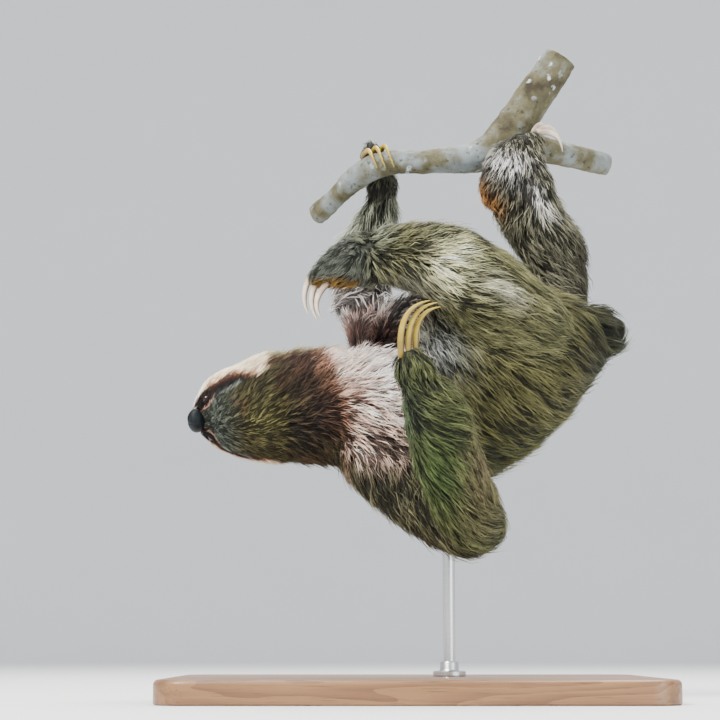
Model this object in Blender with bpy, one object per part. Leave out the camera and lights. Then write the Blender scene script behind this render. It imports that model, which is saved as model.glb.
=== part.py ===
"""A life-size brown-throated three-toed sloth, hanging by one hand and one foot from a cut
length of branch, on a museum display stand. Metres, +Z up. The origin is the middle of the
underside of the base; +X is towards the animal's tail and -Y towards its upturned throat.

The flesh is lofted limb by limb to the tips of the coat, fused into one body, smoothed, and
then parted with thin cuts where a person would name its parts. Claws, eyes and nose sit in
sockets, and the gripping hand and foot take the shape of the bark."""
import math

import bmesh
import bpy
from mathutils import Matrix, Vector

# ---------------------------------------------------------------- driving dimensions, metres
GAP = 0.0004          # clearance left between two solids that meet
CUT = 0.0008          # width of the thin cuts that part the body
LIMB_MARGIN = 0.006   # how far outside a limb's loft its cut from the trunk runs
ZONE_VOXEL = 0.006
ZONE_SMOOTHING = 3
ZONE_TRIANGLES = 260
DISC_SPREAD = 2.2     # radius of a joint's cut, as a share of the limb's radius there
LOFT_STEPS = 5        # rings between two stations
VOXEL = 0.004         # grain at which the lofted limbs are fused
SMOOTHING = 9         # passes that blend one limb into the next
BODY_TRIANGLES = 2800

BASE_LENGTH = 0.460
BASE_DEPTH = 0.340
BASE_HEIGHT = 0.022
BASE_CORNER = 0.030
BASE_CHAMFER = 0.004
ROD_RADIUS = 0.006

# ------------------------------------------------- joints: across, back, up from the base
CHEEK = Vector((-0.157, 0.008, 0.276))
NECK = Vector((-0.097, 0.007, 0.280))
NECK_BASE = Vector((-0.069, 0.007, 0.280))

CHEST = Vector((-0.019, 0.013, 0.278))
RIBS = Vector((0.037, 0.010, 0.283))
LOIN = Vector((0.087, 0.001, 0.314))
BELLY_FRONT = Vector((-0.008, 0.009, 0.344))
BELLY_BACK = Vector((0.057, -0.004, 0.350))
PELVIS = Vector((0.130, -0.003, 0.336))
RUMP = Vector((0.162, -0.004, 0.347))
TAIL_ROOT = Vector((0.184, -0.005, 0.354))
TAIL_TIP = Vector((0.197, -0.005, 0.359))

SHOULDER_RIGHT = Vector((-0.038, -0.003, 0.229))
UPPER_ARM_RIGHT = Vector((0.011, -0.029, 0.184))
ELBOW_RIGHT = Vector((0.056, -0.053, 0.159))
FOREARM_RIGHT = Vector((0.029, -0.093, 0.217))
FOREARM_TOP_RIGHT = Vector((0.017, -0.111, 0.260))
WRIST_RIGHT = Vector((0.001, -0.122, 0.290))
KNUCKLES_RIGHT = Vector((-0.006, -0.125, 0.310))

SHOULDER_LEFT = Vector((-0.018, 0.031, 0.318))
ELBOW_LEFT = Vector((-0.044, 0.110, 0.401))
FOREARM_LEFT = Vector((-0.036, 0.078, 0.459))
WRIST_LEFT = Vector((-0.027, 0.057, 0.506))
PALM_LEFT = Vector((-0.034, 0.050, 0.534))
KNUCKLES_LEFT = Vector((-0.040, 0.032, 0.549))

HIP_RIGHT = Vector((0.112, -0.049, 0.350))
KNEE_RIGHT = Vector((0.046, -0.074, 0.399))
SHANK_RIGHT = Vector((-0.003, -0.066, 0.414))
ANKLE_RIGHT = Vector((-0.039, -0.056, 0.415))
INSTEP_RIGHT = Vector((-0.066, -0.050, 0.408))
TOES_RIGHT = Vector((-0.090, -0.044, 0.397))

HIP_LEFT = Vector((0.135, 0.040, 0.366))
KNEE_LEFT = Vector((0.147, 0.032, 0.429))
SHANK_LEFT = Vector((0.126, 0.018, 0.460))
ANKLE_LEFT = Vector((0.110, 0.003, 0.489))
INSTEP_LEFT = Vector((0.105, -0.005, 0.517))
TOES_LEFT = Vector((0.123, -0.008, 0.549))
HEEL_LEFT = Vector((0.074, -0.002, 0.492))

PERCH_LEFT_END = Vector((-0.094, 0.103, 0.494))
PERCH_HAND = Vector((-0.038, 0.024, 0.523))
PERCH_MIDDLE = Vector((0.020, 0.019, 0.528))
PERCH_FOOT = Vector((0.070, 0.028, 0.537))
PERCH_FORK = Vector((0.103, 0.027, 0.565))
PERCH_TOP = Vector((0.151, 0.019, 0.635))
PERCH_STUB = Vector((0.139, 0.033, 0.543))
PERCH_RIGHT_END = Vector((0.202, 0.085, 0.543))

BACK = Vector((0, 1, 0))
UP = Vector((0, 0, 1))
# the head's own directions: towards the nose, towards its crown, towards its left cheek
HEAD_ROLL = math.radians(27)
HEAD_FORWARD = Vector((-0.99, -0.02, -0.12)).normalized()
HEAD_CROWN = BACK * math.cos(HEAD_ROLL) + UP * math.sin(HEAD_ROLL)
HEAD_CROWN = (HEAD_CROWN - HEAD_FORWARD * HEAD_CROWN.dot(HEAD_FORWARD)).normalized()
HEAD_LEFT = HEAD_CROWN.cross(HEAD_FORWARD)


def on_head(forward, left, crown):
    """A place given in the head's own directions, from the middle of the cheeks."""
    return CHEEK + HEAD_FORWARD * forward + HEAD_LEFT * left + HEAD_CROWN * crown


# ---------------------------------------------------------------------------- scene and looks
def clear_scene():
    for old in list(bpy.data.objects):
        bpy.data.objects.remove(old, do_unlink=True)


def material(name, colour, roughness, metallic=0.0):
    """A plain Principled material."""
    made = bpy.data.materials.new(name)
    made.use_nodes = True
    shader = made.node_tree.nodes["Principled BSDF"]
    shader.inputs["Base Color"].default_value = (*colour, 1.0)
    shader.inputs["Roughness"].default_value = roughness
    shader.inputs["Metallic"].default_value = metallic
    made.diffuse_color = (*colour, 1.0)
    return made


def place(name, bm, look):
    """Turn a bmesh into a named object, shaded smooth except at sharp edges."""
    bm.normal_update()
    bmesh.ops.recalc_face_normals(bm, faces=bm.faces)
    mesh = bpy.data.meshes.new(name)
    bm.to_mesh(mesh)
    bm.free()
    if look:
        mesh.materials.append(look)
    mesh.shade_smooth()
    mesh.set_sharp_from_angle(angle=math.radians(40))
    made = bpy.data.objects.new(name, mesh)
    bpy.context.scene.collection.objects.link(made)
    return made


def evaluated(thing):
    """A new mesh of the object with its modifiers applied."""
    graph = bpy.context.evaluated_depsgraph_get()
    return bpy.data.meshes.new_from_object(thing.evaluated_get(graph), depsgraph=graph)


def bake_modifiers(thing):
    """Apply the object's modifiers to its own mesh."""
    thing.data = evaluated(thing)
    thing.modifiers.clear()


def carve(thing, cutter, operation="DIFFERENCE"):
    """Cut one closed body with another by an exact Boolean."""
    cutter.hide_render = True
    cutter.display_type = "WIRE"
    modifier = thing.modifiers.new("carve", "BOOLEAN")
    modifier.operation = operation
    modifier.solver = "EXACT"
    modifier.object = cutter
    bake_modifiers(thing)
    bpy.data.objects.remove(cutter, do_unlink=True)


# --------------------------------------------------------------------------------- lofted tubes
def spline(values, steps):
    """Points along a smooth Catmull-Rom curve through the given vectors."""
    ends = [2 * values[0] - values[1], *values, 2 * values[-1] - values[-2]]
    made = []
    for i in range(1, len(ends) - 2):
        a, b, c, d = ends[i - 1 : i + 3]
        for k in range(steps):
            t = k / steps
            made.append(
                0.5 * (2 * b + (c - a) * t + (2 * a - 5 * b + 4 * c - d) * t * t
                       + (3 * b - a - 3 * c + d) * t ** 3)
            )
    made.append(ends[-2].copy())
    return made


def directions(path):
    """The unit direction of travel at each point of a path."""
    last = len(path) - 1
    return [(path[min(i + 1, last)] - path[max(i - 1, 0)]).normalized() for i in range(last + 1)]


def loft(bm, stations, deep=BACK, grow=0.0, sides=24, steps=LOFT_STEPS, start_dome=0.8,
         end_dome=0.8):
    """Skin a tube through stations of (centre, half width, half depth), with rounded ends.

    The half depth is measured along the direction `deep`, squared up to the path, and the
    half width across it. A dome of 0 leaves a flat end, and `grow` swells the tube."""
    path = spline([s[0] for s in stations], steps)
    along = directions(path)
    sizes = [s + Vector((grow, grow)) for s in spline([Vector(s[1:]) for s in stations], steps)]
    rings = []
    dome_angles = [math.radians(a) for a in (78, 56, 32)]

    def ring(centre, size, direction):
        depth = (deep - direction * deep.dot(direction)).normalized()
        across = direction.cross(depth)
        turns = [2 * math.pi * k / sides for k in range(sides)]
        rings.append([
            bm.verts.new(centre + across * size[0] * math.cos(t) + depth * size[1] * math.sin(t))
            for t in turns
        ])

    if start_dome:
        for angle in dome_angles:
            reach = min(sizes[0]) * start_dome * math.sin(angle)
            ring(path[0] - along[0] * reach, sizes[0] * math.cos(angle), along[0])
    for centre, size, direction in zip(path, sizes, along):
        ring(centre, size, direction)
    if end_dome:
        for angle in reversed(dome_angles):
            reach = min(sizes[-1]) * end_dome * math.sin(angle)
            ring(path[-1] + along[-1] * reach, sizes[-1] * math.cos(angle), along[-1])

    for low, high in zip(rings, rings[1:]):
        for k in range(sides):
            j = (k + 1) % sides
            bm.faces.new((low[k], low[j], high[j], high[k]))
    bm.faces.new(rings[0])
    bm.faces.new(list(reversed(rings[-1])))
    return bm


# --------------------------------------------------------------------------------- body stations
HEAD_AND_NECK = [
    (on_head(0.0545, 0, -0.004), 0.0120, 0.0100),
    (on_head(0.0490, 0, 0.001), 0.0220, 0.0180),
    (on_head(0.0440, 0, 0.005), 0.0290, 0.0240),
    (on_head(0.0360, 0, 0.007), 0.0365, 0.0310),
    (on_head(0.0190, 0, 0.006), 0.0455, 0.0405),
    (on_head(0.0000, 0, 0.003), 0.0520, 0.0470),
    (on_head(-0.0310, 0, 0.000), 0.0585, 0.0510),
    (NECK, 0.0595, 0.0510),
    (NECK_BASE, 0.0610, 0.0520),
    (CHEST, 0.0680, 0.0580),
]
TORSO = [
    (NECK_BASE, 0.058, 0.050),
    (CHEST, 0.070, 0.062),
    (RIBS, 0.083, 0.078),
    (LOIN, 0.082, 0.079),
    (PELVIS, 0.067, 0.066),
    (RUMP, 0.046, 0.046),
    (TAIL_ROOT, 0.027, 0.027),
    (TAIL_TIP, 0.013, 0.013),
]
BELLY = [
    (BELLY_FRONT, 0.049, 0.047),
    (BELLY_BACK, 0.053, 0.056),
]
ARM_RIGHT = [
    (SHOULDER_RIGHT, 0.036, 0.036),
    (UPPER_ARM_RIGHT, 0.035, 0.034),
    (ELBOW_RIGHT, 0.031, 0.030),
    (FOREARM_RIGHT, 0.034, 0.028),
    (FOREARM_TOP_RIGHT, 0.0335, 0.0265),
    (WRIST_RIGHT, 0.0225, 0.0200),
    (KNUCKLES_RIGHT, 0.0160, 0.0140),
]
ARM_LEFT = [
    (SHOULDER_LEFT, 0.036, 0.036),
    (ELBOW_LEFT, 0.030, 0.030),
    (FOREARM_LEFT, 0.028, 0.026),
    (WRIST_LEFT, 0.021, 0.019),
    (PALM_LEFT, 0.017, 0.014),
    (KNUCKLES_LEFT, 0.014, 0.010),
]
LEG_RIGHT = [
    (HIP_RIGHT, 0.038, 0.034),
    (KNEE_RIGHT, 0.040, 0.036),
    (SHANK_RIGHT, 0.034, 0.029),
    (ANKLE_RIGHT, 0.029, 0.024),
    (INSTEP_RIGHT, 0.024, 0.020),
    (TOES_RIGHT, 0.014, 0.014),
]
LEG_LEFT = [
    (HIP_LEFT, 0.038, 0.034),
    (KNEE_LEFT, 0.033, 0.034),
    (SHANK_LEFT, 0.034, 0.031),
    (ANKLE_LEFT, 0.037, 0.028),
    (INSTEP_LEFT, 0.035, 0.023),
    (TOES_LEFT, 0.012, 0.011),
]
HEEL = [
    (ANKLE_LEFT, 0.022, 0.020),
    (HEEL_LEFT, 0.016, 0.016),
]
# each limb's stations, and the direction along which its half depths are measured
LIMBS = {
    "arm_right": (ARM_RIGHT, Vector((0.5, 0.8, 0))),
    "arm_left": (ARM_LEFT, Vector((1, 0, 0))),
    "leg_right": (LEG_RIGHT, BACK),
    "leg_left": (LEG_LEFT, BACK),
}
# the three lengths of each limb, and the stations at which they are cut apart
LENGTHS = {
    "arm_right": (("upper_arm_right", "forearm_right", "hand_right"), (2, 5)),
    "arm_left": (("upper_arm_left", "forearm_left", "hand_left"), (1, 3)),
    "leg_right": (("thigh_right", "shank_right", "foot_right"), (1, 3)),
    "leg_left": (("thigh_left", "shank_left", "foot_left"), (1, 3)),
}


def fused(name, bm, grain, passes, triangles):
    """Fuse overlapping tubes into one closed body, blend them and thin the mesh."""
    body = place(name, bm, None)
    fuse = body.modifiers.new("fuse", "REMESH")
    fuse.mode = "VOXEL"
    fuse.voxel_size = grain
    blend = body.modifiers.new("blend", "SMOOTH")
    blend.factor = 0.5
    blend.iterations = passes
    bake_modifiers(body)
    body.data.calc_loop_triangles()
    thin = body.modifiers.new("thin", "DECIMATE")
    thin.ratio = triangles / len(body.data.loop_triangles)
    bake_modifiers(body)
    return body


def whole_body():
    """All the lofted lengths fused into one smooth closed body."""
    bm = bmesh.new()
    loft(bm, HEAD_AND_NECK, deep=HEAD_CROWN, start_dome=0.5, end_dome=0)
    loft(bm, TORSO)
    loft(bm, BELLY)
    for stations, deep in LIMBS.values():
        loft(bm, stations, deep)
    loft(bm, HEEL)
    return fused("body", bm, VOXEL, SMOOTHING, BODY_TRIANGLES)


# ------------------------------------------------------------------------- parting the body
def copy_of(thing, name):
    """A separate object with its own copy of the mesh."""
    made = bpy.data.objects.new(name, thing.data.copy())
    bpy.context.scene.collection.objects.link(made)
    return made


def loose_parts(thing):
    """Split an object into one object for each connected body, largest first."""
    bm = bmesh.new()
    bm.from_mesh(thing.data)
    unseen = set(bm.verts)
    bodies = []
    while unseen:
        start = unseen.pop()
        body, edge_of_search = {start}, [start]
        while edge_of_search:
            for edge in edge_of_search.pop().link_edges:
                for vert in edge.verts:
                    if vert in unseen:
                        unseen.discard(vert)
                        body.add(vert)
                        edge_of_search.append(vert)
        bodies.append({vert.index for vert in body})
    bm.free()
    made = []
    for body in sorted(bodies, key=lambda found: (-len(found), min(found))):
        piece = copy_of(thing, "piece")
        bm = bmesh.new()
        bm.from_mesh(piece.data)
        bm.verts.ensure_lookup_table()
        others = [vert for vert in bm.verts if vert.index not in body]
        bmesh.ops.delete(bm, geom=others, context="VERTS")
        bm.to_mesh(piece.data)
        bm.free()
        made.append(piece)
    bpy.data.objects.remove(thing, do_unlink=True)
    return made


def nearest(pieces, place):
    """Take from a list the piece that has a vertex nearest to a place."""
    found = min(pieces, key=lambda piece: min((v.co - place).length for v in piece.data.vertices))
    pieces.remove(found)
    return found


def drop(pieces):
    """Remove the slivers that a cut may leave beside its parts."""
    for piece in pieces:
        bpy.data.objects.remove(piece, do_unlink=True)


def split_limb(body, stations, deep):
    """Part a limb from the body, along a slightly swollen copy of the limb."""
    swollen = loft(bmesh.new(), stations, deep, grow=LIMB_MARGIN)
    zone = fused("zone", swollen, ZONE_VOXEL, ZONE_SMOOTHING, ZONE_TRIANGLES)
    settle = zone.modifiers.new("settle", "SMOOTH")
    settle.factor = 0.5
    settle.iterations = 2
    bake_modifiers(zone)
    wide = copy_of(zone, "wide")
    for vert, normal in zip(wide.data.vertices, zone.data.vertex_normals):
        vert.co += normal.vector * CUT
    limb = copy_of(body, "limb")
    carve(limb, zone, "INTERSECT")
    carve(body, wide)
    largest, *slivers = loose_parts(limb)
    drop(slivers)
    return largest


def sever(thing, stations, index, heart):
    """Cut across a limb at a station, halfway between its two directions there.

    Gives the side that holds `heart`, then the rest."""
    (before, _, _), (spot, *sizes), (after, _, _) = stations[index - 1 : index + 2]
    across = ((spot - before).normalized() + (after - spot).normalized()).normalized()
    radius = max(sizes) * DISC_SPREAD
    disc = bmesh.new()
    bmesh.ops.create_cone(disc, cap_ends=True, segments=48, depth=CUT, radius1=radius,
                          radius2=radius)
    turn = UP.rotation_difference(across).to_matrix().to_4x4()
    bmesh.ops.transform(disc, matrix=Matrix.Translation(spot) @ turn, verts=disc.verts)
    carve(thing, place("disc", disc, None))
    first, second, *slivers = loose_parts(thing)
    drop(slivers)
    sides = [first, second]
    kept = nearest(sides, heart)
    return kept, sides[0]


def parted_body(looks):
    """The flesh as named objects."""
    body = whole_body()
    named = {}
    for limb, (stations, deep) in LIMBS.items():
        names, joints = LENGTHS[limb]
        rest = split_limb(body, stations, deep)
        for name, joint in zip(names, joints):
            named[name], rest = sever(rest, stations, joint, stations[joint - 1][0])
        named[names[-1]] = rest
    core, *slivers = loose_parts(body)
    drop(slivers)
    named["tail"], core = sever(core, TORSO, 6, TAIL_TIP)
    head_and_neck, named["trunk"] = sever(core, HEAD_AND_NECK, 8, CHEEK)
    named["head"], named["neck"] = sever(head_and_neck, HEAD_AND_NECK, 6, on_head(0.02, 0, 0))
    for name, piece in named.items():
        piece.name = name
        piece.data.name = name
        piece.data.materials.clear()
        piece.data.materials.append(looks[name])
    return named


# ------------------------------------------------------------------------ perch stations
PERCH_RADIUS = 0.0125
PERCH = [
    (PERCH_LEFT_END, 0.0105, 0.0105),
    (PERCH_HAND, PERCH_RADIUS, PERCH_RADIUS),
    (PERCH_MIDDLE, 0.0120, 0.0125),
    (PERCH_FOOT, 0.0165, 0.0155),
    (PERCH_FORK, 0.0195, 0.0180),
    (PERCH_TOP, 0.0175, 0.0180),
]
PERCH_ARM = [
    (PERCH_FORK - Vector((0.004, 0, 0.010)), 0.0125, 0.0125),
    (PERCH_STUB, 0.0125, 0.0125),
    (PERCH_RIGHT_END, 0.0120, 0.0120),
]


# --------------------------------------------------------------- head details and claws
EYE_FORWARD, EYE_SIDE, EYE_CROWN = 0.0405, 0.0225, -0.0110
EYE_RADIUS = 0.0054
NOSE_FORWARD, NOSE_CROWN = 0.0540, -0.0080
NOSE_HALF_LENGTH, NOSE_HALF_WIDTH, NOSE_HALF_HEIGHT = 0.0070, 0.0130, 0.0100
CLAW_RADIUS = 0.0031
CLAW_TIP_RADIUS = 0.0007
CLAW_FLATNESS = 0.80
CLAW_SIDES = 6
CLAW_STEPS = 7
# the hanging hand's claws, wound over the perch: angles in degrees from its top, forwards
HOOK_START, HOOK_TURN = -22, 128
HOOK_REACH, HOOK_ADVANCE = 0.0170, 0.0140
HOOK_OFFSET, HOOK_SPACING = 0.0010, 0.0080
HOOK_LINE_STEPS = 60


def ball(centre, radii, grow=0.0, segments=12, rings=7):
    """An ellipsoid lying along the head's own directions."""
    bm = bmesh.new()
    bmesh.ops.create_uvsphere(bm, u_segments=segments, v_segments=rings, radius=1)
    for vert in bm.verts:
        size = [coordinate * (radius + grow) for coordinate, radius in zip(vert.co, radii)]
        vert.co = centre + HEAD_FORWARD * size[0] + HEAD_LEFT * size[1] + HEAD_CROWN * size[2]
    return bm


def bow(base, tip, bulge):
    """The path of a claw: an arc from base to tip that bulges out in the middle."""
    control = (base + tip) / 2 + bulge * 2
    steps = [i / (CLAW_STEPS - 1) for i in range(CLAW_STEPS)]
    return [base * (1 - t) ** 2 + control * 2 * t * (1 - t) + tip * t * t for t in steps]


def hook(line, centre, along):
    """The path of a claw wound round a branch, at a steady reach from the branch's own line."""
    front = along.cross(UP).normalized()
    top = front.cross(along)
    path = []
    for i in range(CLAW_STEPS):
        t = i / (CLAW_STEPS - 1)
        angle = math.radians(HOOK_START + HOOK_TURN * t)
        around = top * math.cos(angle) + front * math.sin(angle)
        spot = centre + around * HOOK_REACH + along * HOOK_ADVANCE * t
        inside = min(line, key=lambda point: (point - spot).length)
        path.append(inside + (spot - inside).normalized() * HOOK_REACH)
    return path


def claw(path, grow=0.0, root=0.006):
    """A tapered, slightly flattened claw along a path, its root sunk into the finger."""
    along = directions(path)
    path = [path[0] - along[0] * root, *path]
    along = [along[0], *along]
    plane = (path[-1] - path[1]).cross(path[len(path) // 2] - path[1]).normalized()
    bm = bmesh.new()
    rings = []
    for i, (centre, direction) in enumerate(zip(path, along)):
        t = i / (len(path) - 1)
        radius = CLAW_TIP_RADIUS + (CLAW_RADIUS - CLAW_TIP_RADIUS) * (1 - t ** 2.2) + grow
        tall = direction.cross(plane)
        turns = [2 * math.pi * k / CLAW_SIDES for k in range(CLAW_SIDES)]
        rings.append([
            bm.verts.new(centre + tall * radius * math.cos(a)
                         + plane * radius * CLAW_FLATNESS * math.sin(a))
            for a in turns
        ])
    for low, high in zip(rings, rings[1:]):
        for k in range(CLAW_SIDES):
            j = (k + 1) % CLAW_SIDES
            bm.faces.new((low[k], low[j], high[j], high[k]))
    bm.faces.new(rings[0])
    bm.faces.new(list(reversed(rings[-1])))
    return bm


def claw_paths():
    """The twelve claws: three on each hand and foot, named by limb and counted from the thumb."""
    free_hand = [
        (Vector((-0.013, -0.129, 0.313)), Vector((0.013, -0.136, 0.358))),
        (Vector((-0.006, -0.126, 0.312)), Vector((0.020, -0.132, 0.357))),
        (Vector((0.001, -0.122, 0.311)), Vector((0.023, -0.127, 0.354))),
    ]
    free_foot = [
        (Vector((-0.096, -0.037, 0.402)), Vector((-0.099, -0.031, 0.364))),
        (Vector((-0.091, -0.044, 0.393)), Vector((-0.090, -0.037, 0.357))),
        (Vector((-0.084, -0.051, 0.387)), Vector((-0.087, -0.046, 0.359))),
    ]
    grip_foot = [
        (Vector((0.130, -0.006, 0.551)), Vector((0.151, 0.010, 0.536)), Vector((0.003, -0.003, 0.005))),
        (Vector((0.128, 0.001, 0.555)), Vector((0.150, 0.020, 0.551)), Vector((0.001, -0.002, 0.006))),
        (Vector((0.124, 0.008, 0.558)), Vector((0.143, 0.034, 0.559)), Vector((-0.001, -0.001, 0.007))),
    ]
    paths = {}
    for i, (base, tip) in enumerate(free_hand):
        paths[f"claw_hand_right_{i + 1}"] = bow(base, tip, Vector((-0.0080, -0.002, 0.0090)))
    for i, (base, tip) in enumerate(free_foot):
        paths[f"claw_foot_right_{i + 1}"] = bow(base, tip, Vector((-0.0055, 0.001, 0)))
    for i, (base, tip, bulge) in enumerate(grip_foot):
        paths[f"claw_foot_left_{i + 1}"] = bow(base, tip, bulge)
    along = (PERCH_MIDDLE - PERCH_HAND).normalized()
    line = spline([station[0] for station in PERCH], HOOK_LINE_STEPS)
    for i in range(3):
        centre = PERCH_HAND + along * (HOOK_OFFSET + HOOK_SPACING * (i - 1))
        paths[f"claw_hand_left_{i + 1}"] = hook(line, centre, along)
    return paths


# --------------------------------------------------------------------------- perch and stand
GRIP_GAP = 0.0010
ROD_FOOT = Vector((0.036, 0.030, 0.012))
ROD_HEAD = Vector((0.036, 0.030, 0.236))


def perch(grow=0.0):
    """The cut branch: a main length that turns up at a fork, and a side arm."""
    main = place("perch_branch", loft(bmesh.new(), PERCH, grow=grow, sides=11, steps=3,
                                      start_dome=0, end_dome=0), None)
    arm = place("arm", loft(bmesh.new(), PERCH_ARM, grow=grow, sides=9, steps=3, end_dome=0),
                None)
    carve(main, arm, "UNION")
    return main


def rod(grow=0.0):
    """The upright rod, from inside the base up into the underside of the trunk."""
    bm = bmesh.new()
    tall = ROD_HEAD - ROD_FOOT
    bmesh.ops.create_cone(bm, cap_ends=True, segments=24, radius1=ROD_RADIUS + grow,
                          radius2=ROD_RADIUS + grow, depth=tall.z + 2 * grow)
    bmesh.ops.translate(bm, vec=ROD_FOOT + tall / 2, verts=bm.verts)
    return bm


def stand_base():
    """A flat board with round corners and a chamfered top edge."""
    bm = bmesh.new()
    bmesh.ops.create_cube(bm, size=1)
    bmesh.ops.scale(bm, vec=(BASE_LENGTH, BASE_DEPTH, BASE_HEIGHT), verts=bm.verts)
    bmesh.ops.translate(bm, vec=(0, 0, BASE_HEIGHT / 2), verts=bm.verts)
    upright = [e for e in bm.edges if abs(e.verts[0].co.z - e.verts[1].co.z) > BASE_HEIGHT / 2]
    bmesh.ops.bevel(bm, geom=upright, offset=BASE_CORNER, segments=3, profile=0.5, affect="EDGES")
    top = [e for e in bm.edges if all(v.co.z > BASE_HEIGHT - 1e-6 for v in e.verts)]
    bmesh.ops.bevel(bm, geom=top, offset=BASE_CHAMFER, segments=1, profile=0.5, affect="EDGES")
    return bm


# ------------------------------------------------------------------------------------ assembly
def build():
    clear_scene()
    coat = material("coat_olive", (0.17, 0.15, 0.09), 0.9)
    coat_green = material("coat_green", (0.14, 0.16, 0.07), 0.9)
    coat_face = material("coat_face", (0.16, 0.12, 0.08), 0.9)
    coat_throat = material("coat_throat", (0.55, 0.42, 0.33), 0.9)
    nose_skin = material("nose_skin", (0.03, 0.03, 0.04), 0.4)
    eye_gloss = material("eye_gloss", (0.02, 0.012, 0.008), 0.08)
    hand_horn = material("hand_horn", (0.50, 0.42, 0.18), 0.45)
    foot_horn = material("foot_horn", (0.72, 0.66, 0.55), 0.45)
    bark = material("bark", (0.30, 0.28, 0.24), 0.9)
    board = material("board", (0.42, 0.30, 0.20), 0.5)
    steel = material("steel", (0.55, 0.55, 0.56), 0.3, 1.0)

    looks = {"head": coat_face, "neck": coat_throat, "trunk": coat, "tail": coat}
    for side in ("left", "right"):
        for length in ("upper_arm", "forearm", "hand"):
            looks[f"{length}_{side}"] = coat_green
        for length in ("thigh", "shank", "foot"):
            looks[f"{length}_{side}"] = coat
    flesh = parted_body(looks)

    for side, left in (("left", EYE_SIDE), ("right", -EYE_SIDE)):
        centre = on_head(EYE_FORWARD, left, EYE_CROWN)
        radii = (EYE_RADIUS,) * 3
        place(f"eye_{side}", ball(centre, radii), eye_gloss)
        carve(flesh["head"], place("socket", ball(centre, radii, GAP), None))
    centre = on_head(NOSE_FORWARD, 0, NOSE_CROWN)
    radii = (NOSE_HALF_LENGTH, NOSE_HALF_WIDTH, NOSE_HALF_HEIGHT)
    place("nose", ball(centre, radii), nose_skin)
    carve(flesh["head"], place("socket", ball(centre, radii, GAP), None))

    for name, path in claw_paths().items():
        _, end, side, _ = name.split("_")
        place(name, claw(path), hand_horn if end == "hand" else foot_horn)
        carve(flesh[f"{end}_{side}"], place("socket", claw(path, GAP), None))

    branch = perch()
    branch.data.materials.append(bark)
    for name in ("hand_left", "foot_left"):
        carve(flesh[name], perch(GRIP_GAP))

    base = place("stand_base", stand_base(), board)
    place("stand_rod", rod(), steel)
    for held in (flesh["trunk"], base):
        carve(held, place("socket", rod(GAP), None))


build()
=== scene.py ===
"""A life-size three-toed sloth hanging by one hand and one foot from a cut length of branch, on
a museum stand: board, rod, branch, skin, eyes, nose, claws and coat, in the order in which a
model maker would put them together. Metres, +Z up, the head towards -X, the throat towards -Y."""
import math

import bpy
import numpy as np
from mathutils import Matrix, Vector
from mathutils.bvhtree import BVHTree
from mathutils.kdtree import KDTree


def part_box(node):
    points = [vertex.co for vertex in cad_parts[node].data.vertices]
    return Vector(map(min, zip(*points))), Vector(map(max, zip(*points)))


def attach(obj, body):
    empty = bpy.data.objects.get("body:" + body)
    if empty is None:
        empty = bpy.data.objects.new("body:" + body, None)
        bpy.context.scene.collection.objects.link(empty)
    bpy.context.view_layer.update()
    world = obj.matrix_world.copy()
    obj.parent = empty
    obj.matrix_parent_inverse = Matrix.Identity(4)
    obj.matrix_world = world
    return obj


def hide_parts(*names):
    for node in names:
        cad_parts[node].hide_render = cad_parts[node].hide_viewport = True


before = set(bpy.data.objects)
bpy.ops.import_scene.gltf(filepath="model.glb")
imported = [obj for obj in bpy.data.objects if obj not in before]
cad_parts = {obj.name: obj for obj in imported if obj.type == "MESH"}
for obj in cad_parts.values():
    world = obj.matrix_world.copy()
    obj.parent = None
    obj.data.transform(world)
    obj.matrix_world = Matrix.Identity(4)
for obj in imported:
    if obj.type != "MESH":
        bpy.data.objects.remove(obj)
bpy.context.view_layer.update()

# ---------------------------------------------------------------------- room, light and camera
# The room is one bowl of pale paper: a round floor that curves up into a wall all round the
# stand. Two large soft boxes and a top light hang in it, and the camera looks up from low down.
FLOOR_RADIUS, WALL_RADIUS, WALL_TOP = 4.6, 6.0, 3.6


def add_mesh(name, points, faces, smooth=True):
    """A mesh object at the origin from an array of points and its faces."""
    mesh = bpy.data.meshes.new(name)
    mesh.from_pydata(points, [], faces)
    mesh.polygons.foreach_set("use_smooth", [smooth] * len(mesh.polygons))
    mesh.update()
    made = bpy.data.objects.new(name, mesh)
    bpy.context.scene.collection.objects.link(made)
    return made


def grid_faces(rows, columns):
    """The quads of a grid of points stored row by row, its last column joined to the first."""
    i, j = np.meshgrid(np.arange(rows - 1), np.arange(columns), indexing="ij")
    k = (j + 1) % columns
    quads = np.stack([i * columns + j, i * columns + k, (i + 1) * columns + k,
                      (i + 1) * columns + j], axis=-1)
    return quads.reshape(-1, 4)


def capped_faces(rows, columns):
    """The quads of a closed tube of rings, and one flat face over each of its ends."""
    return [*grid_faces(rows, columns).tolist(), list(range(columns))[::-1],
            list(range((rows - 1) * columns, rows * columns))]


def node_tools(tree):
    """Two shorthands for a node tree: add a node, join two sockets."""
    def add(kind, inputs=(), **settings):
        node = tree.nodes.new(kind)
        for key, value in settings.items():
            setattr(node, key, value)
        for socket, value in dict(inputs).items():
            if isinstance(value, bpy.types.NodeSocket):
                tree.links.new(value, node.inputs[socket])
            else:
                node.inputs[socket].default_value = value
        return node

    return add, tree.links.new


def new_material(name):
    """A material with its Principled shader and the shorthands for its nodes."""
    made = bpy.data.materials.new(name)
    made.use_nodes = True
    return made, made.node_tree.nodes["Principled BSDF"], *node_tools(made.node_tree)


def new_effect(name, taken, given):
    """An effect that several materials share: a node group with named sockets in and out."""
    made = bpy.data.node_groups.new(name, "ShaderNodeTree")
    for direction, sockets in (("INPUT", taken), ("OUTPUT", given)):
        for label, kind in sockets.items():
            made.interface.new_socket(label, in_out=direction, socket_type=f"NodeSocket{kind}")
    add, join = node_tools(made)
    return made, add("NodeGroupInput").outputs, add("NodeGroupOutput").inputs, add, join


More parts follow.
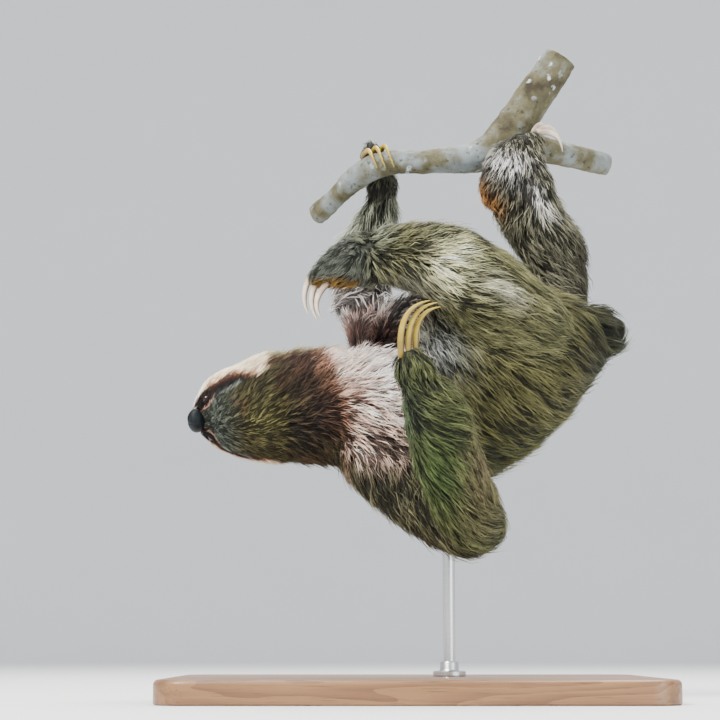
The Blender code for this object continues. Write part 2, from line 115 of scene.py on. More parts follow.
def tint(red, green, blue):
    """A colour given in everyday 0 to 255 values, as linear light."""
    c = np.array([red, green, blue]) / 255
    return np.where(c <= 0.04045, c / 12.92, ((c + 0.055) / 1.055) ** 2.4)


def turned(profile, centre, sides, close=True):
    """A lathe-turned piece: rings of the radius and height in a profile, about an upright
    axis. A solid is closed at both ends by a flat disc, and the room's bowl stays open."""
    angle = np.linspace(0, 2 * math.pi, sides, endpoint=False)
    radius, height = np.array(profile).T
    points = np.stack([centre[0] + radius[:, None] * np.cos(angle),
                       centre[1] + radius[:, None] * np.sin(angle),
                       np.broadcast_to(height[:, None], (len(height), sides))], -1).reshape(-1, 3)
    return points, (capped_faces if close else grid_faces)(len(height), sides)


bend = np.linspace(0, math.pi / 2, 13)
cove = WALL_RADIUS - FLOOR_RADIUS
bowl_profile = [(0.002, 0.0), (FLOOR_RADIUS / 2, 0.0)]
bowl_profile += [(FLOOR_RADIUS + cove * math.sin(a), cove * (1 - math.cos(a))) for a in bend]
bowl_profile += [(WALL_RADIUS, WALL_TOP)]
room = add_mesh("room_bowl", *turned(bowl_profile, (0, 0), 96, close=False))
room.data.flip_normals()

# cloudy finish: two tones and a roughness that drift with one smooth noise
cloudy_finish, taken, given, add, join = new_effect(
    "cloudy_finish", {"Place": "Vector", "Scale": "Float", "Detail": "Float", "Deep": "Color",
                      "Pale": "Color", "Smooth": "Float", "Dull": "Float"},
    {"Colour": "Color", "Amount": "Float", "Roughness": "Float"})
cloud = add("ShaderNodeTexNoise", {"Vector": taken["Place"], "Scale": taken["Scale"],
                                   "Detail": taken["Detail"]})
tones = add("ShaderNodeMix", {"Factor": cloud.outputs["Fac"], "A": taken["Deep"],
                              "B": taken["Pale"]}, data_type="RGBA")
dullness = add("ShaderNodeMapRange", {"Value": cloud.outputs["Fac"], "To Min": taken["Smooth"],
                                      "To Max": taken["Dull"]})
join(tones.outputs["Result"], given["Colour"])
join(cloud.outputs["Fac"], given["Amount"])
join(dullness.outputs[0], given["Roughness"])

# grime: a colour made stronger and weaker from place to place
grime, taken, given, add, join = new_effect(
    "grime", {"Colour": "Color", "Place": "Vector", "Scale": "Float", "Detail": "Float",
              "Weakest": "Float", "Strongest": "Float"}, {"Colour": "Color", "Amount": "Float"})
cloud = add("ShaderNodeTexNoise", {"Vector": taken["Place"], "Scale": taken["Scale"],
                                   "Detail": taken["Detail"]})
strength = add("ShaderNodeMapRange", {"Value": cloud.outputs["Fac"], "From Min": 0.3,
                                      "From Max": 0.7, "To Min": taken["Weakest"],
                                      "To Max": taken["Strongest"]})
soiled = add("ShaderNodeVectorMath", {0: taken["Colour"], "Scale": strength.outputs[0]},
             operation="SCALE")
join(soiled.outputs[0], given["Colour"])
join(cloud.outputs["Fac"], given["Amount"])

paper, shader, add, join = new_material("room_paper")
spot = add("ShaderNodeTexCoord").outputs["Object"]
sheet = add("ShaderNodeGroup", {"Place": spot, "Scale": 3.0, "Detail": 4.0,
                                "Deep": (0.74, 0.75, 0.76, 1), "Pale": (0.78, 0.79, 0.79, 1)},
            node_tree=cloudy_finish)
join(sheet.outputs["Colour"], shader.inputs["Base Color"])
shader.inputs["Roughness"].default_value = 0.9
room.data.materials.append(paper)


def soft_box(name, place, aim, size, power, colour):
    """A square area light that faces a point."""
    data = bpy.data.lights.new(name, "AREA")
    data.shape, data.size, data.energy, data.color = "SQUARE", size, power, colour
    light = bpy.data.objects.new(name, data)
    light.location = place
    light.rotation_euler = (Vector(aim) - Vector(place)).to_track_quat("-Z", "Y").to_euler()
    bpy.context.scene.collection.objects.link(light)


MIDDLE = (0.0, 0.0, 0.34)
soft_box("key_box", (-1.3, -1.6, 2.3), MIDDLE, 1.0, 175, (1.0, 0.97, 0.92))
soft_box("fill_box", (1.9, -2.0, 0.8), MIDDLE, 1.8, 48, (0.93, 0.97, 1.0))
soft_box("top_box", (0.3, 0.7, 2.4), MIDDLE, 1.3, 115, (1.0, 0.98, 0.94))
world = bpy.data.worlds.new("studio_air")
world.use_nodes = True
world.node_tree.nodes["Background"].inputs["Color"].default_value = (0.92, 0.95, 1.0, 1)
world.node_tree.nodes["Background"].inputs["Strength"].default_value = 1.0
bpy.context.scene.world = world

CAMERA_AIM = Vector((-0.05, 0.0, 0.325))
CAMERA_DISTANCE, CAMERA_RISE = 1.8, math.radians(8.8)
HALF_FRAME = 0.194            # half the frame's width at one metre
looking = Vector((0, math.cos(CAMERA_RISE), math.sin(CAMERA_RISE)))
camera_data = bpy.data.cameras.new("camera")
camera_data.sensor_width = 36
camera_data.lens = 18 / HALF_FRAME
camera_data.clip_start, camera_data.clip_end = 0.05, 30
camera = bpy.data.objects.new("camera", camera_data)
camera.location = CAMERA_AIM - looking * CAMERA_DISTANCE
camera.rotation_euler = (math.pi / 2 + CAMERA_RISE, 0, 0)
bpy.context.scene.collection.objects.link(camera)
bpy.context.scene.camera = camera

# ----------------------------------------------------------------------------- display board
# The board is one plank of oak with round corners, its top edge worked to a small ovolo and
# its foot slightly undercut, sealed with a satin varnish.
base_low, base_high = (np.array(c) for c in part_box("stand_base"))
BOARD_CORNER, OVOLO, UNDERCUT = 0.030, 0.0045, 0.0015


def board_ring(inset, height, corner_steps=12, side_steps=10):
    """A rounded rectangle, drawn in by an inset, at a height: four straight sides joined by
    quarter circles."""
    half = (base_high - base_low)[:2] / 2 - inset
    corner = max(BOARD_CORNER - inset, 0.002)
    turn = np.linspace(0, math.pi / 2, corner_steps)
    ring = []
    for quarter, (sx, sy) in enumerate([(1, 1), (-1, 1), (-1, -1), (1, -1)]):
        angle = turn + quarter * math.pi / 2
        centre = np.array([sx, sy]) * (half - corner)
        ring.append(centre + corner * np.stack([np.cos(angle), np.sin(angle)], 1))
        ahead = [(-1, 1), (-1, -1), (1, -1), (1, 1)][quarter]
        start = ring[-1][-1]
        stop = np.array(ahead) * (half - corner) + corner * np.array(
            [math.cos(angle[-1]), math.sin(angle[-1])])
        run = np.linspace(0, 1, side_steps)[1:-1, None]
        ring.append(start + (stop - start) * run)
    flat = np.concatenate(ring) + ((base_high + base_low) / 2)[:2]
    return np.column_stack([flat, np.full(len(flat), height)])


round_over = np.linspace(0, math.pi / 2, 7)
board_profile = [(0.02, base_low[2]), (UNDERCUT, base_low[2]), (0.0, base_low[2] + UNDERCUT)]
board_profile += [(OVOLO * (1 - math.cos(a)), base_high[2] - OVOLO * (1 - math.sin(a)))
                  for a in round_over]
board_profile += [(OVOLO + 0.0015, base_high[2]), (0.03, base_high[2])]
rings = [board_ring(inset, height) for inset, height in board_profile]
board = add_mesh("stand_board", np.concatenate(rings), capped_faces(len(rings), len(rings[0])))
board.data.set_sharp_from_angle(angle=math.radians(30))

oak, shader, add, join = new_material("oak_board")
spot = add("ShaderNodeTexCoord").outputs["Object"]
GRAIN_LEAN = (0.03, 0.05, 0.035)      # the plank was not sawn quite along the grain
leaning = add("ShaderNodeMapping", {"Vector": spot, "Rotation": GRAIN_LEAN,
                                    "Scale": (1.0, 9.0, 9.0)})
warp = add("ShaderNodeTexNoise", {"Vector": leaning.outputs[0], "Scale": 2.2, "Detail": 3.0})
fibres = add("ShaderNodeMapping", {"Vector": spot, "Rotation": GRAIN_LEAN,
                                   "Scale": (7.0, 260.0, 260.0)})
fibre_noise = add("ShaderNodeTexNoise", {"Vector": fibres.outputs[0], "Scale": 1.0,
                                         "Detail": 5.0, "Distortion": 0.3})
bands = add("ShaderNodeMath", {0: warp.outputs["Fac"], 1: 11.0}, operation="MULTIPLY")
bands_in = add("ShaderNodeMath", {0: bands.outputs[0]}, operation="FRACT")
band_edge = add("ShaderNodeMapRange", {"Value": bands_in.outputs[0], "From Min": 0.0,
                                       "From Max": 0.9, "To Min": 0.0, "To Max": 0.55})
figure = add("ShaderNodeMath", {0: fibre_noise.outputs["Fac"], 1: band_edge.outputs[0]},
             operation="ADD")
oak_tones = add("ShaderNodeMapRange", {"Value": figure.outputs[0], "From Min": 0.35,
                                       "From Max": 1.05})
pores = add("ShaderNodeMapping", {"Vector": spot, "Scale": (30.0, 800.0, 800.0)})
pore_noise = add("ShaderNodeTexNoise", {"Vector": pores.outputs[0], "Scale": 1.0, "Detail": 2.0})
pore_mask = add("ShaderNodeMapRange", {"Value": pore_noise.outputs["Fac"], "From Min": 0.58,
                                       "From Max": 0.70, "To Max": 0.7})
oak_plain = add("ShaderNodeMix", {"Factor": oak_tones.outputs[0], "A": (*tint(104, 70, 44), 1),
                                  "B": (*tint(138, 100, 64), 1)}, data_type="RGBA")
oak_colour = add("ShaderNodeMix", {"Factor": pore_mask.outputs[0],
                                   "A": oak_plain.outputs["Result"],
                                   "B": (*tint(84, 55, 34), 1)}, data_type="RGBA")
join(oak_colour.outputs["Result"], shader.inputs["Base Color"])
oak_bump = add("ShaderNodeBump", {"Height": pore_mask.outputs[0], "Strength": 0.25,
                                  "Distance": 0.0002}, invert=True)
join(oak_bump.outputs["Normal"], shader.inputs["Normal"])
oak_gloss = add("ShaderNodeMapRange", {"Value": warp.outputs["Fac"], "To Min": 0.34,
                                       "To Max": 0.46})
join(oak_gloss.outputs[0], shader.inputs["Roughness"])
shader.inputs["Coat Weight"].default_value = 0.25
shader.inputs["Coat Roughness"].default_value = 0.25
board.data.materials.append(oak)
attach(board, "root")
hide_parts("stand_base")

# ------------------------------------------------------------------------------- support rod
# The rod is stainless bar with a turned collar where it enters the board, and its top end is
# hidden in the animal.
rod_low, rod_high = (np.array(c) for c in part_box("stand_rod"))
rod_centre = (rod_low + rod_high)[:2] / 2
ROD_RADIUS = (rod_high - rod_low)[0] / 2
board_top = base_high[2]
ROD_SIDES = 48

rod_profile = [
    (ROD_RADIUS, rod_low[2]), (ROD_RADIUS, board_top + 0.0002), (0.0150, board_top + 0.0002),
    (0.0158, board_top + 0.0010), (0.0158, board_top + 0.0042), (0.0150, board_top + 0.0052),
    (0.0098, board_top + 0.0056), (0.0090, board_top + 0.0068), (0.0090, board_top + 0.0130),
    (0.0082, board_top + 0.0142), (ROD_RADIUS, board_top + 0.0146),
    (ROD_RADIUS, board_top + 0.0600), (ROD_RADIUS, rod_high[2] - 0.0008),
    (ROD_RADIUS - 0.0008, rod_high[2]),
]
rod = add_mesh("stand_support_rod", *turned(rod_profile, rod_centre, ROD_SIDES))
rod.data.set_sharp_from_angle(angle=math.radians(35))
stainless, shader, add, join = new_material("turned_stainless")
spot = add("ShaderNodeTexCoord").outputs["Object"]
turning = add("ShaderNodeMapping", {"Vector": spot, "Scale": (60.0, 60.0, 2400.0)})
tool_marks = add("ShaderNodeGroup", {"Place": turning.outputs[0], "Scale": 1.0, "Detail": 3.0,
                                     "Deep": (0.50, 0.50, 0.51, 1), "Pale": (0.64, 0.64, 0.65, 1),
                                     "Smooth": 0.22, "Dull": 0.42}, node_tree=cloudy_finish)
steel_bump = add("ShaderNodeBump", {"Height": tool_marks.outputs["Amount"], "Strength": 0.12,
                                    "Distance": 0.0001})
join(tool_marks.outputs["Roughness"], shader.inputs["Roughness"])
join(tool_marks.outputs["Colour"], shader.inputs["Base Color"])
join(steel_bump.outputs["Normal"], shader.inputs["Normal"])
shader.inputs["Metallic"].default_value = 1.0
rod.data.materials.append(stainless)
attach(rod, "root")
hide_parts("stand_rod")

# ------------------------------------------------------------------------------ cut perch
# The perch is a dry grey branch sawn off at three places: it rises to a fork, with lichen on
# the bark, a swollen collar where the side arm leaves, and pale wood on the sawn faces.
BRANCH = np.array([  # across, back, up, radius
    (-0.094, 0.103, 0.494, 0.0100), (-0.038, 0.024, 0.523, 0.0120),
    (0.020, 0.019, 0.528, 0.0118), (0.070, 0.028, 0.537, 0.0158),
    (0.103, 0.027, 0.565, 0.0188), (0.151, 0.019, 0.635, 0.0171),
])
SIDE_ARM = np.array([
    (0.099, 0.027, 0.555, 0.0120), (0.139, 0.033, 0.543, 0.0121),
    (0.202, 0.085, 0.543, 0.0115),
])
BRANCH_SIDES = 72


def spline(stations, steps):
    """Rows along a Catmull-Rom curve through the stations: each span is the cubic that leaves
    and meets its ends in line with their neighbours."""
    ends = np.concatenate([[2 * stations[0] - stations[1]], stations,
                           [2 * stations[-1] - stations[-2]]])
    a, b, c, d = ends[:-3, None], ends[1:-2, None], ends[2:-1, None], ends[3:, None]
    t = (np.arange(steps) / steps)[None, :, None]
    rows = 0.5 * (2 * b + (c - a) * t + (2 * a - 5 * b + 4 * c - d) * t ** 2
                  + (3 * b - a - 3 * c + d) * t ** 3)
    return np.concatenate([rows.reshape(-1, stations.shape[1]), stations[-1:]])


def unit(vectors):
    """The vectors at length one."""
    return vectors / np.maximum(np.linalg.norm(vectors, axis=-1, keepdims=True), 1e-12)


def rough(points, size, seed=0):
    """Smooth random values from -1 to 1: random numbers on a lattice of the given size,
    blended by a smoothstep between each cell's eight corners."""
    scaled = points / size
    cell = np.floor(scaled).astype(np.int64)
    share = scaled - cell
    share = share * share * (3 - 2 * share)
    total = np.zeros(len(points))
    for corner in np.ndindex(2, 2, 2):
        x, y, z = (cell + corner).T
        mixed = (x * 73856093 ^ y * 19349663 ^ z * 83492791 ^ (seed + 1) * 26544357) & 0x7FFFFFFF
        mixed = (mixed ^ (mixed >> 13)) * 1274126177 & 0x7FFFFFFF
        value = ((mixed ^ (mixed >> 16)) & 0xFFFF) / 32767.5 - 1
        weight = np.where(corner, share, 1 - share).prod(1)
        total += value * weight
    return total


def mark_points(made, key, values):
    """Stores one number at each point of a mesh under a name, for its material to read."""
    layer = made.data.attributes.new(key, "FLOAT", "POINT")
    layer.data.foreach_set("value", np.asarray(values, np.float32).ravel())


def bark_tube(stations, steps):
    """A branch: rings carried along a curve, each swollen and furrowed by rough(), then drawn
    in over a small bevel to a sawn face. Gives points, quads and how far each point is
    into a sawn face."""
    rows = spline(stations, steps)
    centre, radius = rows[:, :3], rows[:, 3]
    ahead = unit(np.gradient(centre, axis=0))
    side = unit(np.cross(ahead, (0.0, 0.0, 1.0)))
    upper = np.cross(side, ahead)
    shares, bevel = [0.0, 0.35, 0.75, 0.93], 0.0006
    index = np.concatenate([np.zeros(4, int), np.arange(len(rows)), np.full(4, len(rows) - 1)])
    shrink = np.concatenate([shares, np.ones(len(rows)), shares[::-1]])
    sawn = np.concatenate([np.ones(4), np.zeros(len(rows)), np.ones(4)])
    push = np.concatenate([np.full(4, -bevel), np.zeros(len(rows)), np.full(4, bevel)])
    angle = np.linspace(0, 2 * math.pi, BRANCH_SIDES, endpoint=False)
    around = (side[index, None] * np.cos(angle)[None, :, None]
              + upper[index, None] * np.sin(angle)[None, :, None])
    surface = centre[index, None] + around * radius[index, None, None]
    flat = surface.reshape(-1, 3)
    swell = (0.0011 * rough(flat, 0.034, 1) + 0.0007 * rough(flat, 0.012, 2)
             + 0.0004 * rough(flat, 0.004, 3) + 0.00022 * rough(flat, 0.0016, 4))
    furrow = -0.0006 * np.clip(1 - np.abs(rough(flat * (0.35, 1, 1), 0.008, 5)) * 5, 0, 1)
    swell = (swell + furrow).reshape(len(index), -1)
    reach = (radius[index, None] + swell) * shrink[:, None]
    points = (centre[index, None] + around * reach[..., None]
              + (ahead[index] * push[:, None])[:, None])
    faces = grid_faces(len(index), BRANCH_SIDES)
    return points.reshape(-1, 3), faces, np.repeat(sawn, BRANCH_SIDES)


main_points, main_faces, main_sawn = bark_tube(BRANCH, 34)
arm_points, arm_faces, arm_sawn = bark_tube(SIDE_ARM, 34)
collar = np.exp(-(np.linalg.norm(arm_points - SIDE_ARM[0, :3], axis=1) / 0.030) ** 2)
arm_points += (arm_points - SIDE_ARM[0, :3]) * (0.18 * collar)[:, None]
perch = add_mesh("perch_bark", np.concatenate([main_points, arm_points]),
                 np.concatenate([main_faces, arm_faces + len(main_points)]))
mark_points(perch, "sawn", np.concatenate([main_sawn, arm_sawn]))

bark, shader, add, join = new_material("lichened_bark")
spot = add("ShaderNodeTexCoord").outputs["Object"]
broad = add("ShaderNodeTexNoise", {"Vector": spot, "Scale": 24.0, "Detail": 6.0,
                                   "Roughness": 0.62})
fine = add("ShaderNodeTexNoise", {"Vector": spot, "Scale": 210.0, "Detail": 5.0})
bark_tones = add("ShaderNodeValToRGB", {"Fac": broad.outputs["Fac"]})
bark_tones.color_ramp.elements[0].color = (*tint(52, 46, 34), 1)
bark_tones.color_ramp.elements[0].position = 0.32
bark_tones.color_ramp.elements[1].color = (*tint(124, 132, 134), 1)
bark_tones.color_ramp.elements[1].position = 0.62
moss_tone = bark_tones.color_ramp.elements.new(0.46)
moss_tone.color = (*tint(92, 88, 66), 1)
lichen_spots = add("ShaderNodeTexVoronoi", {"Vector": spot, "Scale": 70.0, "Randomness": 1.0})
lichen_edge = add("ShaderNodeMath", {0: lichen_spots.outputs["Distance"],
                                     1: fine.outputs["Fac"]}, operation="ADD")
lichen_mask = add("ShaderNodeMapRange", {"Value": lichen_edge.outputs[0], "From Min": 0.72,
                                         "From Max": 0.60})
patch_noise = add("ShaderNodeTexNoise", {"Vector": spot, "Scale": 13.0, "Detail": 2.0})
patch_mask = add("ShaderNodeMapRange", {"Value": patch_noise.outputs["Fac"], "From Min": 0.48,
                                        "From Max": 0.60})
lichen = add("ShaderNodeMath", {0: lichen_mask.outputs[0], 1: patch_mask.outputs[0]},
             operation="MULTIPLY")
with_lichen = add("ShaderNodeMix", {"Factor": lichen.outputs[0], "A": bark_tones.outputs["Color"],
                                    "B": (*tint(190, 204, 210), 1)}, data_type="RGBA")
cracks = add("ShaderNodeMapRange", {"Value": fine.outputs["Fac"], "From Min": 0.40,
                                    "From Max": 0.30, "To Max": 0.75})
with_cracks = add("ShaderNodeMix", {"Factor": cracks.outputs[0],
                                    "A": with_lichen.outputs["Result"],
                                    "B": (*tint(48, 42, 32), 1)}, data_type="RGBA")
cut = add("ShaderNodeAttribute", attribute_name="sawn")
sawn_wood = add("ShaderNodeGroup", {"Place": spot, "Scale": 160.0, "Detail": 3.0,
                                    "Deep": (*tint(142, 112, 76), 1),
                                    "Pale": (*tint(206, 180, 138), 1)}, node_tree=cloudy_finish)
perch_colour = add("ShaderNodeMix", {"Factor": cut.outputs["Fac"],
                                     "A": with_cracks.outputs["Result"],
                                     "B": sawn_wood.outputs["Colour"]}, data_type="RGBA")
join(perch_colour.outputs["Result"], shader.inputs["Base Color"])
bark_bump = add("ShaderNodeBump", {"Height": fine.outputs["Fac"], "Strength": 0.7,
                                   "Distance": 0.0012})
join(bark_bump.outputs["Normal"], shader.inputs["Normal"])
shader.inputs["Roughness"].default_value = 0.86
shader.inputs["Specular IOR Level"].default_value = 0.25
perch.data.materials.append(bark)
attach(perch, "root")
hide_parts("perch_branch")

# ------------------------------------------------------------------------------------- skin
# The skin is one hide without a seam, drawn over a body form that was cut down from the outer
# outline by the depth of the coat. It carries the colours that show where the coat is thin.
SIDES = ("right", "left")
LIMB_PARTS = ("upper_arm", "forearm", "hand", "thigh", "shank", "foot")
FLESH = ["head", "neck", "trunk", "tail"] + [f"{part}_{side}" for side in SIDES
                                             for part in LIMB_PARTS]
COAT_DEPTH = {"head": 0.0060, "neck": 0.0100, "trunk": 0.0140, "tail": 0.0050,
              "upper_arm": 0.0100, "forearm": 0.0095, "hand": 0.0040,
              "thigh": 0.0110, "shank": 0.0085, "foot": 0.0045}
HULL_MESH, SKIN_MESH, OVERLAP = 0.0028, 0.00205, 0.0010


def numbers(data, key, width, kind=float):
    """One property of a whole mesh as an array of rows."""
    values = np.empty(len(data) * width, kind)
    data.foreach_get(key, values)
    return values.reshape(-1, width)


def point_normals(points, triangles):
    """The outward direction at each point: the sum of the face areas round it."""
    a, b, c = (points[triangles[:, k]] for k in range(3))
    area = np.repeat(np.cross(b - a, c - a), 3, axis=0)
    return unit(np.stack([np.bincount(triangles.ravel(), area[:, axis], len(points))
                          for axis in range(3)], 1))


def halves(quads):
    """Two triangles for each quad."""
    return quads[:, [0, 1, 2, 0, 2, 3]].reshape(-1, 3)


def edges_of(quads):
    """Each edge of the quads once."""
    pairs = np.sort(quads[:, [0, 1, 1, 2, 2, 3, 3, 0]].reshape(-1, 2), axis=1)
    return np.unique(pairs, axis=0)


def smoothed(values, edges, rounds, share=0.5):
    """Values at the points, drawn by a share towards the mean of their neighbours, a number
    of times over."""
    a, b = edges.T
    degree = np.maximum(np.bincount(edges.ravel(), minlength=len(values)), 1)[:, None]
    for _ in range(rounds):
        total = np.stack([np.bincount(a, values[b, k], len(values))
                          + np.bincount(b, values[a, k], len(values))
                          for k in range(values.shape[1])], 1)
        values = values + share * (total / degree - values)
    return values


def wrapped(points, faces, size):
    """One closed skin of even quads round solids that overlap."""
    draft = add_mesh("draft", points, faces)
    wrap = draft.modifiers.new("wrap", "REMESH")
    wrap.mode, wrap.voxel_size = "VOXEL", size
    made = bpy.data.meshes.new_from_object(
        draft.evaluated_get(bpy.context.evaluated_depsgraph_get()))
    quads = numbers(made.loops, "vertex_index", 1, int).reshape(-1, 4)
    bpy.data.objects.remove(draft)
    return numbers(made.vertices, "co", 3), quads


def tree_of(points, faces):
    """A search tree over a surface."""
    return BVHTree.FromPolygons(points.tolist(), faces.tolist())


def nearest_faces(tree, points):
    """For each point, the number of the nearest face and the distance to it."""
    found = [tree.find_nearest(p) for p in points.tolist()]
    return np.array([f[2] for f in found]), np.array([f[3] for f in found])


corners, triangles, owners, offset = [], [], [], 0
for number, node in enumerate(FLESH):
    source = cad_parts[node]
    place = np.array(source.matrix_world)
    loose = numbers(source.data.vertices, "co", 3) @ place[:3, :3].T + place[:3, 3]
    source.data.calc_loop_triangles()
    faces = numbers(source.data.loop_triangles, "vertices", 3, int)
    _, first, merged = np.unique(np.round(loose, 6), axis=0, return_index=True,
                                 return_inverse=True)
    faces = merged.reshape(-1)[faces]
    faces = faces[(faces[:, 0] != faces[:, 1]) & (faces[:, 1] != faces[:, 2])
                  & (faces[:, 2] != faces[:, 0])]
    joined = loose[first] + OVERLAP * point_normals(loose[first], faces)
    corners.append(joined)
    triangles.append(faces + offset)
    owners.append(np.full(len(faces), number))
    offset += len(joined)
corners, triangles, owners = map(np.concatenate, (corners, triangles, owners))

hull, hull_quads = wrapped(corners, triangles, HULL_MESH)
hull_edges = edges_of(hull_quads)
hull = smoothed(hull, hull_edges, 3)
face_found, _ = nearest_faces(tree_of(corners, triangles), hull)
hull_part = owners[face_found]

CHEEK = np.array((-0.157, 0.008, 0.276))
HEAD_ROLL = math.radians(27)
HEAD_FORWARD = unit(np.array((-0.99, -0.02, -0.12)))
HEAD_CROWN = np.array((0, math.cos(HEAD_ROLL), math.sin(HEAD_ROLL)))
HEAD_CROWN = unit(HEAD_CROWN - HEAD_FORWARD * HEAD_CROWN.dot(HEAD_FORWARD))
HEAD_LEFT = np.cross(HEAD_CROWN, HEAD_FORWARD)
HEAD_AXES = np.stack([HEAD_FORWARD, HEAD_LEFT, HEAD_CROWN])


def in_head(points):
    """Places in the head's own directions: towards the nose, the left cheek, the crown."""
    return (points - CHEEK) @ HEAD_AXES.T


def from_head(places):
    """Places given in the head's own directions, in the shared frame."""
    return CHEEK + np.asarray(places) @ HEAD_AXES


def step(value, low, high):
    """0 below low, 1 above high, with a smooth ramp between."""
    share = np.clip((value - low) / (high - low), 0, 1)
    return share * share * (3 - 2 * share)


def part_kind(node):
    """A limb part's name without its side."""
    return node.rsplit("_", 1)[0] if node.endswith(SIDES) else node


depth = np.array([COAT_DEPTH[part_kind(node)] for node in FLESH])[hull_part]
faceward = step(in_head(hull)[:, 0], 0.000, 0.035)
depth = np.where(hull_part == 0, depth * (1 - 0.55 * faceward), depth)
depth = smoothed(depth[:, None], hull_edges, 10)
inner, hull_triangles = hull.copy(), halves(hull_quads)
INSET_STEPS = 7
for _ in range(INSET_STEPS):
    inner = inner - (depth + OVERLAP) / INSET_STEPS * point_normals(inner, hull_triangles)
    inner = smoothed(inner, hull_edges, 1, 0.35)
skin_points, skin_quads = wrapped(inner, hull_quads, SKIN_MESH)
skin_edges = edges_of(skin_quads)
skin_points = smoothed(skin_points, skin_edges, 2)

# The face is modelled in the skin: sockets under the brow, a short muzzle, the mouth's groove.
# Places on it are metres towards the nose, the left cheek and the crown.
EYE_PLACE = np.array((0.0432, 0.0220, -0.0114))
SOCKET_PLACE = EYE_PLACE + (0.002, 0.002, 0)
NOSE_PLACE = np.array((0.0523, 0, -0.0100))
MOUTH = [(0.0490, 0.0000, -0.0190), (0.0475, 0.0060, -0.0175), (0.0440, 0.0095, -0.0150),
         (0.0345, 0.0178, -0.0168), (0.0275, 0.0235, -0.0205)]
BROW_RIDGE = [(0.045, 0.014, -0.001), (0.034, 0.032, -0.003)]


def patch(points, centre, reach):
    """A soft ellipsoid spot: 1 at its centre, falling off as a bell curve."""
    return np.exp(-(((points - centre) / reach) ** 2).sum(1))


def line_mask(points, stations, width):
    """1 on a polyline, falling off as a bell curve of the given width."""
    stations = np.array(stations)
    best = np.full(len(points), np.inf)
    for a, b in zip(stations[:-1], stations[1:]):
        t = np.clip((points - a) @ (b - a) / ((b - a) @ (b - a)), 0, 1)
        best = np.minimum(best, np.linalg.norm(points - a - t[:, None] * (b - a), axis=1))
    return np.exp(-(best / width) ** 2)


def both_sides(points):
    """Places in the head's own directions with the right side turned over on to the left."""
    forward, sideways, crownward = in_head(points).T
    return np.stack([forward, np.abs(sideways), crownward], 1)


skin_triangles = halves(skin_quads)
for _ in range(2):
    face_place = both_sides(skin_points)
    over_nose = step(face_place[:, 0], 0.034, 0.054) * step(face_place[:, 2], -0.001, 0.010)
    snout = patch(face_place, (0.052, 0.000, -0.016), (0.016, 0.015, 0.013))
    lid_swell = patch(face_place, SOCKET_PLACE, (0.0105, 0.0105, 0.0090))
    socket = patch(face_place, SOCKET_PLACE, (0.0045, 0.0045, 0.0035))
    brow_ridge = line_mask(face_place, BROW_RIDGE, 0.0040)
    mouth_groove = line_mask(face_place, MOUTH, 0.0013)
    outward = (0.0013 * snout + 0.0011 * lid_swell - 0.0009 * socket + 0.0007 * brow_ridge
               - 0.0006 * mouth_groove)
    onward = 0.0032 * snout - 0.0033 * over_nose
    skin_points = (skin_points + outward[:, None] * point_normals(skin_points, skin_triangles)
                   + onward[:, None] * HEAD_FORWARD)

# what part of the body each place on the skin belongs to, shading from one into the next
hull_face, skin_depth = nearest_faces(tree_of(hull, hull_quads), skin_points)
skin_part = hull_part[hull_quads[hull_face, 0]]
belongs = smoothed(np.eye(len(FLESH))[skin_part], skin_edges, 8)
skin_depth = smoothed(skin_depth[:, None], skin_edges, 3)[:, 0]
skin_normals = point_normals(skin_points, skin_triangles)


def share_of(*nodes):
    """How far each place on the skin belongs to the named parts, 0 to 1."""
    return belongs[:, [FLESH.index(node) for node in nodes]].sum(1)


# The coat's markings, with painted light and shade among them: a root colour and a tip colour at every
# place on the skin, the root darker in part as painted shade deep in the coat. Algae turn
# the limbs green, the throat is brown, the chest cream, and a dark stripe runs from each eye.
BODY_TINTS = {  # root, tip
    "head": ((44, 42, 30), (104, 96, 70)), "neck": ((60, 46, 36), (128, 104, 84)),
    "trunk": ((38, 37, 20), (146, 142, 88)), "tail": ((48, 44, 28), (104, 98, 70)),
    "upper_arm_right": ((40, 38, 26), (104, 98, 70)),
    "forearm_right": ((44, 54, 28), (112, 122, 74)), "hand_right": ((60, 60, 34), (122, 120, 72)),
    "upper_arm_left": ((46, 34, 30), (102, 80, 70)),
    "forearm_left": ((38, 40, 36), (182, 186, 160)), "hand_left": ((48, 48, 42), (120, 118, 98)),
    "thigh_right": ((38, 38, 19), (156, 154, 98)), "shank_right": ((34, 37, 26), (176, 180, 148)),
    "foot_right": ((62, 66, 54), (134, 140, 126)), "thigh_left": ((50, 46, 32), (150, 144, 122)),
    "shank_left": ((58, 54, 42), (178, 172, 156)), "foot_left": ((62, 58, 48), (170, 164, 148)),
}
DULL = 0.40                      # how much darker the dyed hair is than it looks in full light


def dyed(colour):
    """A hair colour: pale hair keeps its strength, dark hair is dulled."""
    linear = tint(*colour)
    bright = step(linear.mean(), 0.20, 0.70)
    return linear * (DULL + (1 - DULL) * bright)


root_tint = sum(belongs[:, [k]] * dyed(BODY_TINTS[node][0]) for k, node in enumerate(FLESH))
tip_tint = sum(belongs[:, [k]] * dyed(BODY_TINTS[node][1]) for k, node in enumerate(FLESH))
pale_share = np.full(len(skin_points), 0.38)      # of the strands, pale nearly to the root


def paint(mask, root, tip, pale=None):
    """Lays a root and a tip colour over the coat's colours where a mask says, and the share
    of pale strands with them when one is given."""
    global root_tint, tip_tint, pale_share
    if pale is not None:
        pale_share = pale_share + np.clip(mask, 0, 1) * (pale - pale_share)
    mask = np.clip(mask, 0, 1)[:, None]
    root_tint = root_tint + mask * (dyed(root) - root_tint)
    tip_tint = tip_tint + mask * (dyed(tip) - tip_tint)


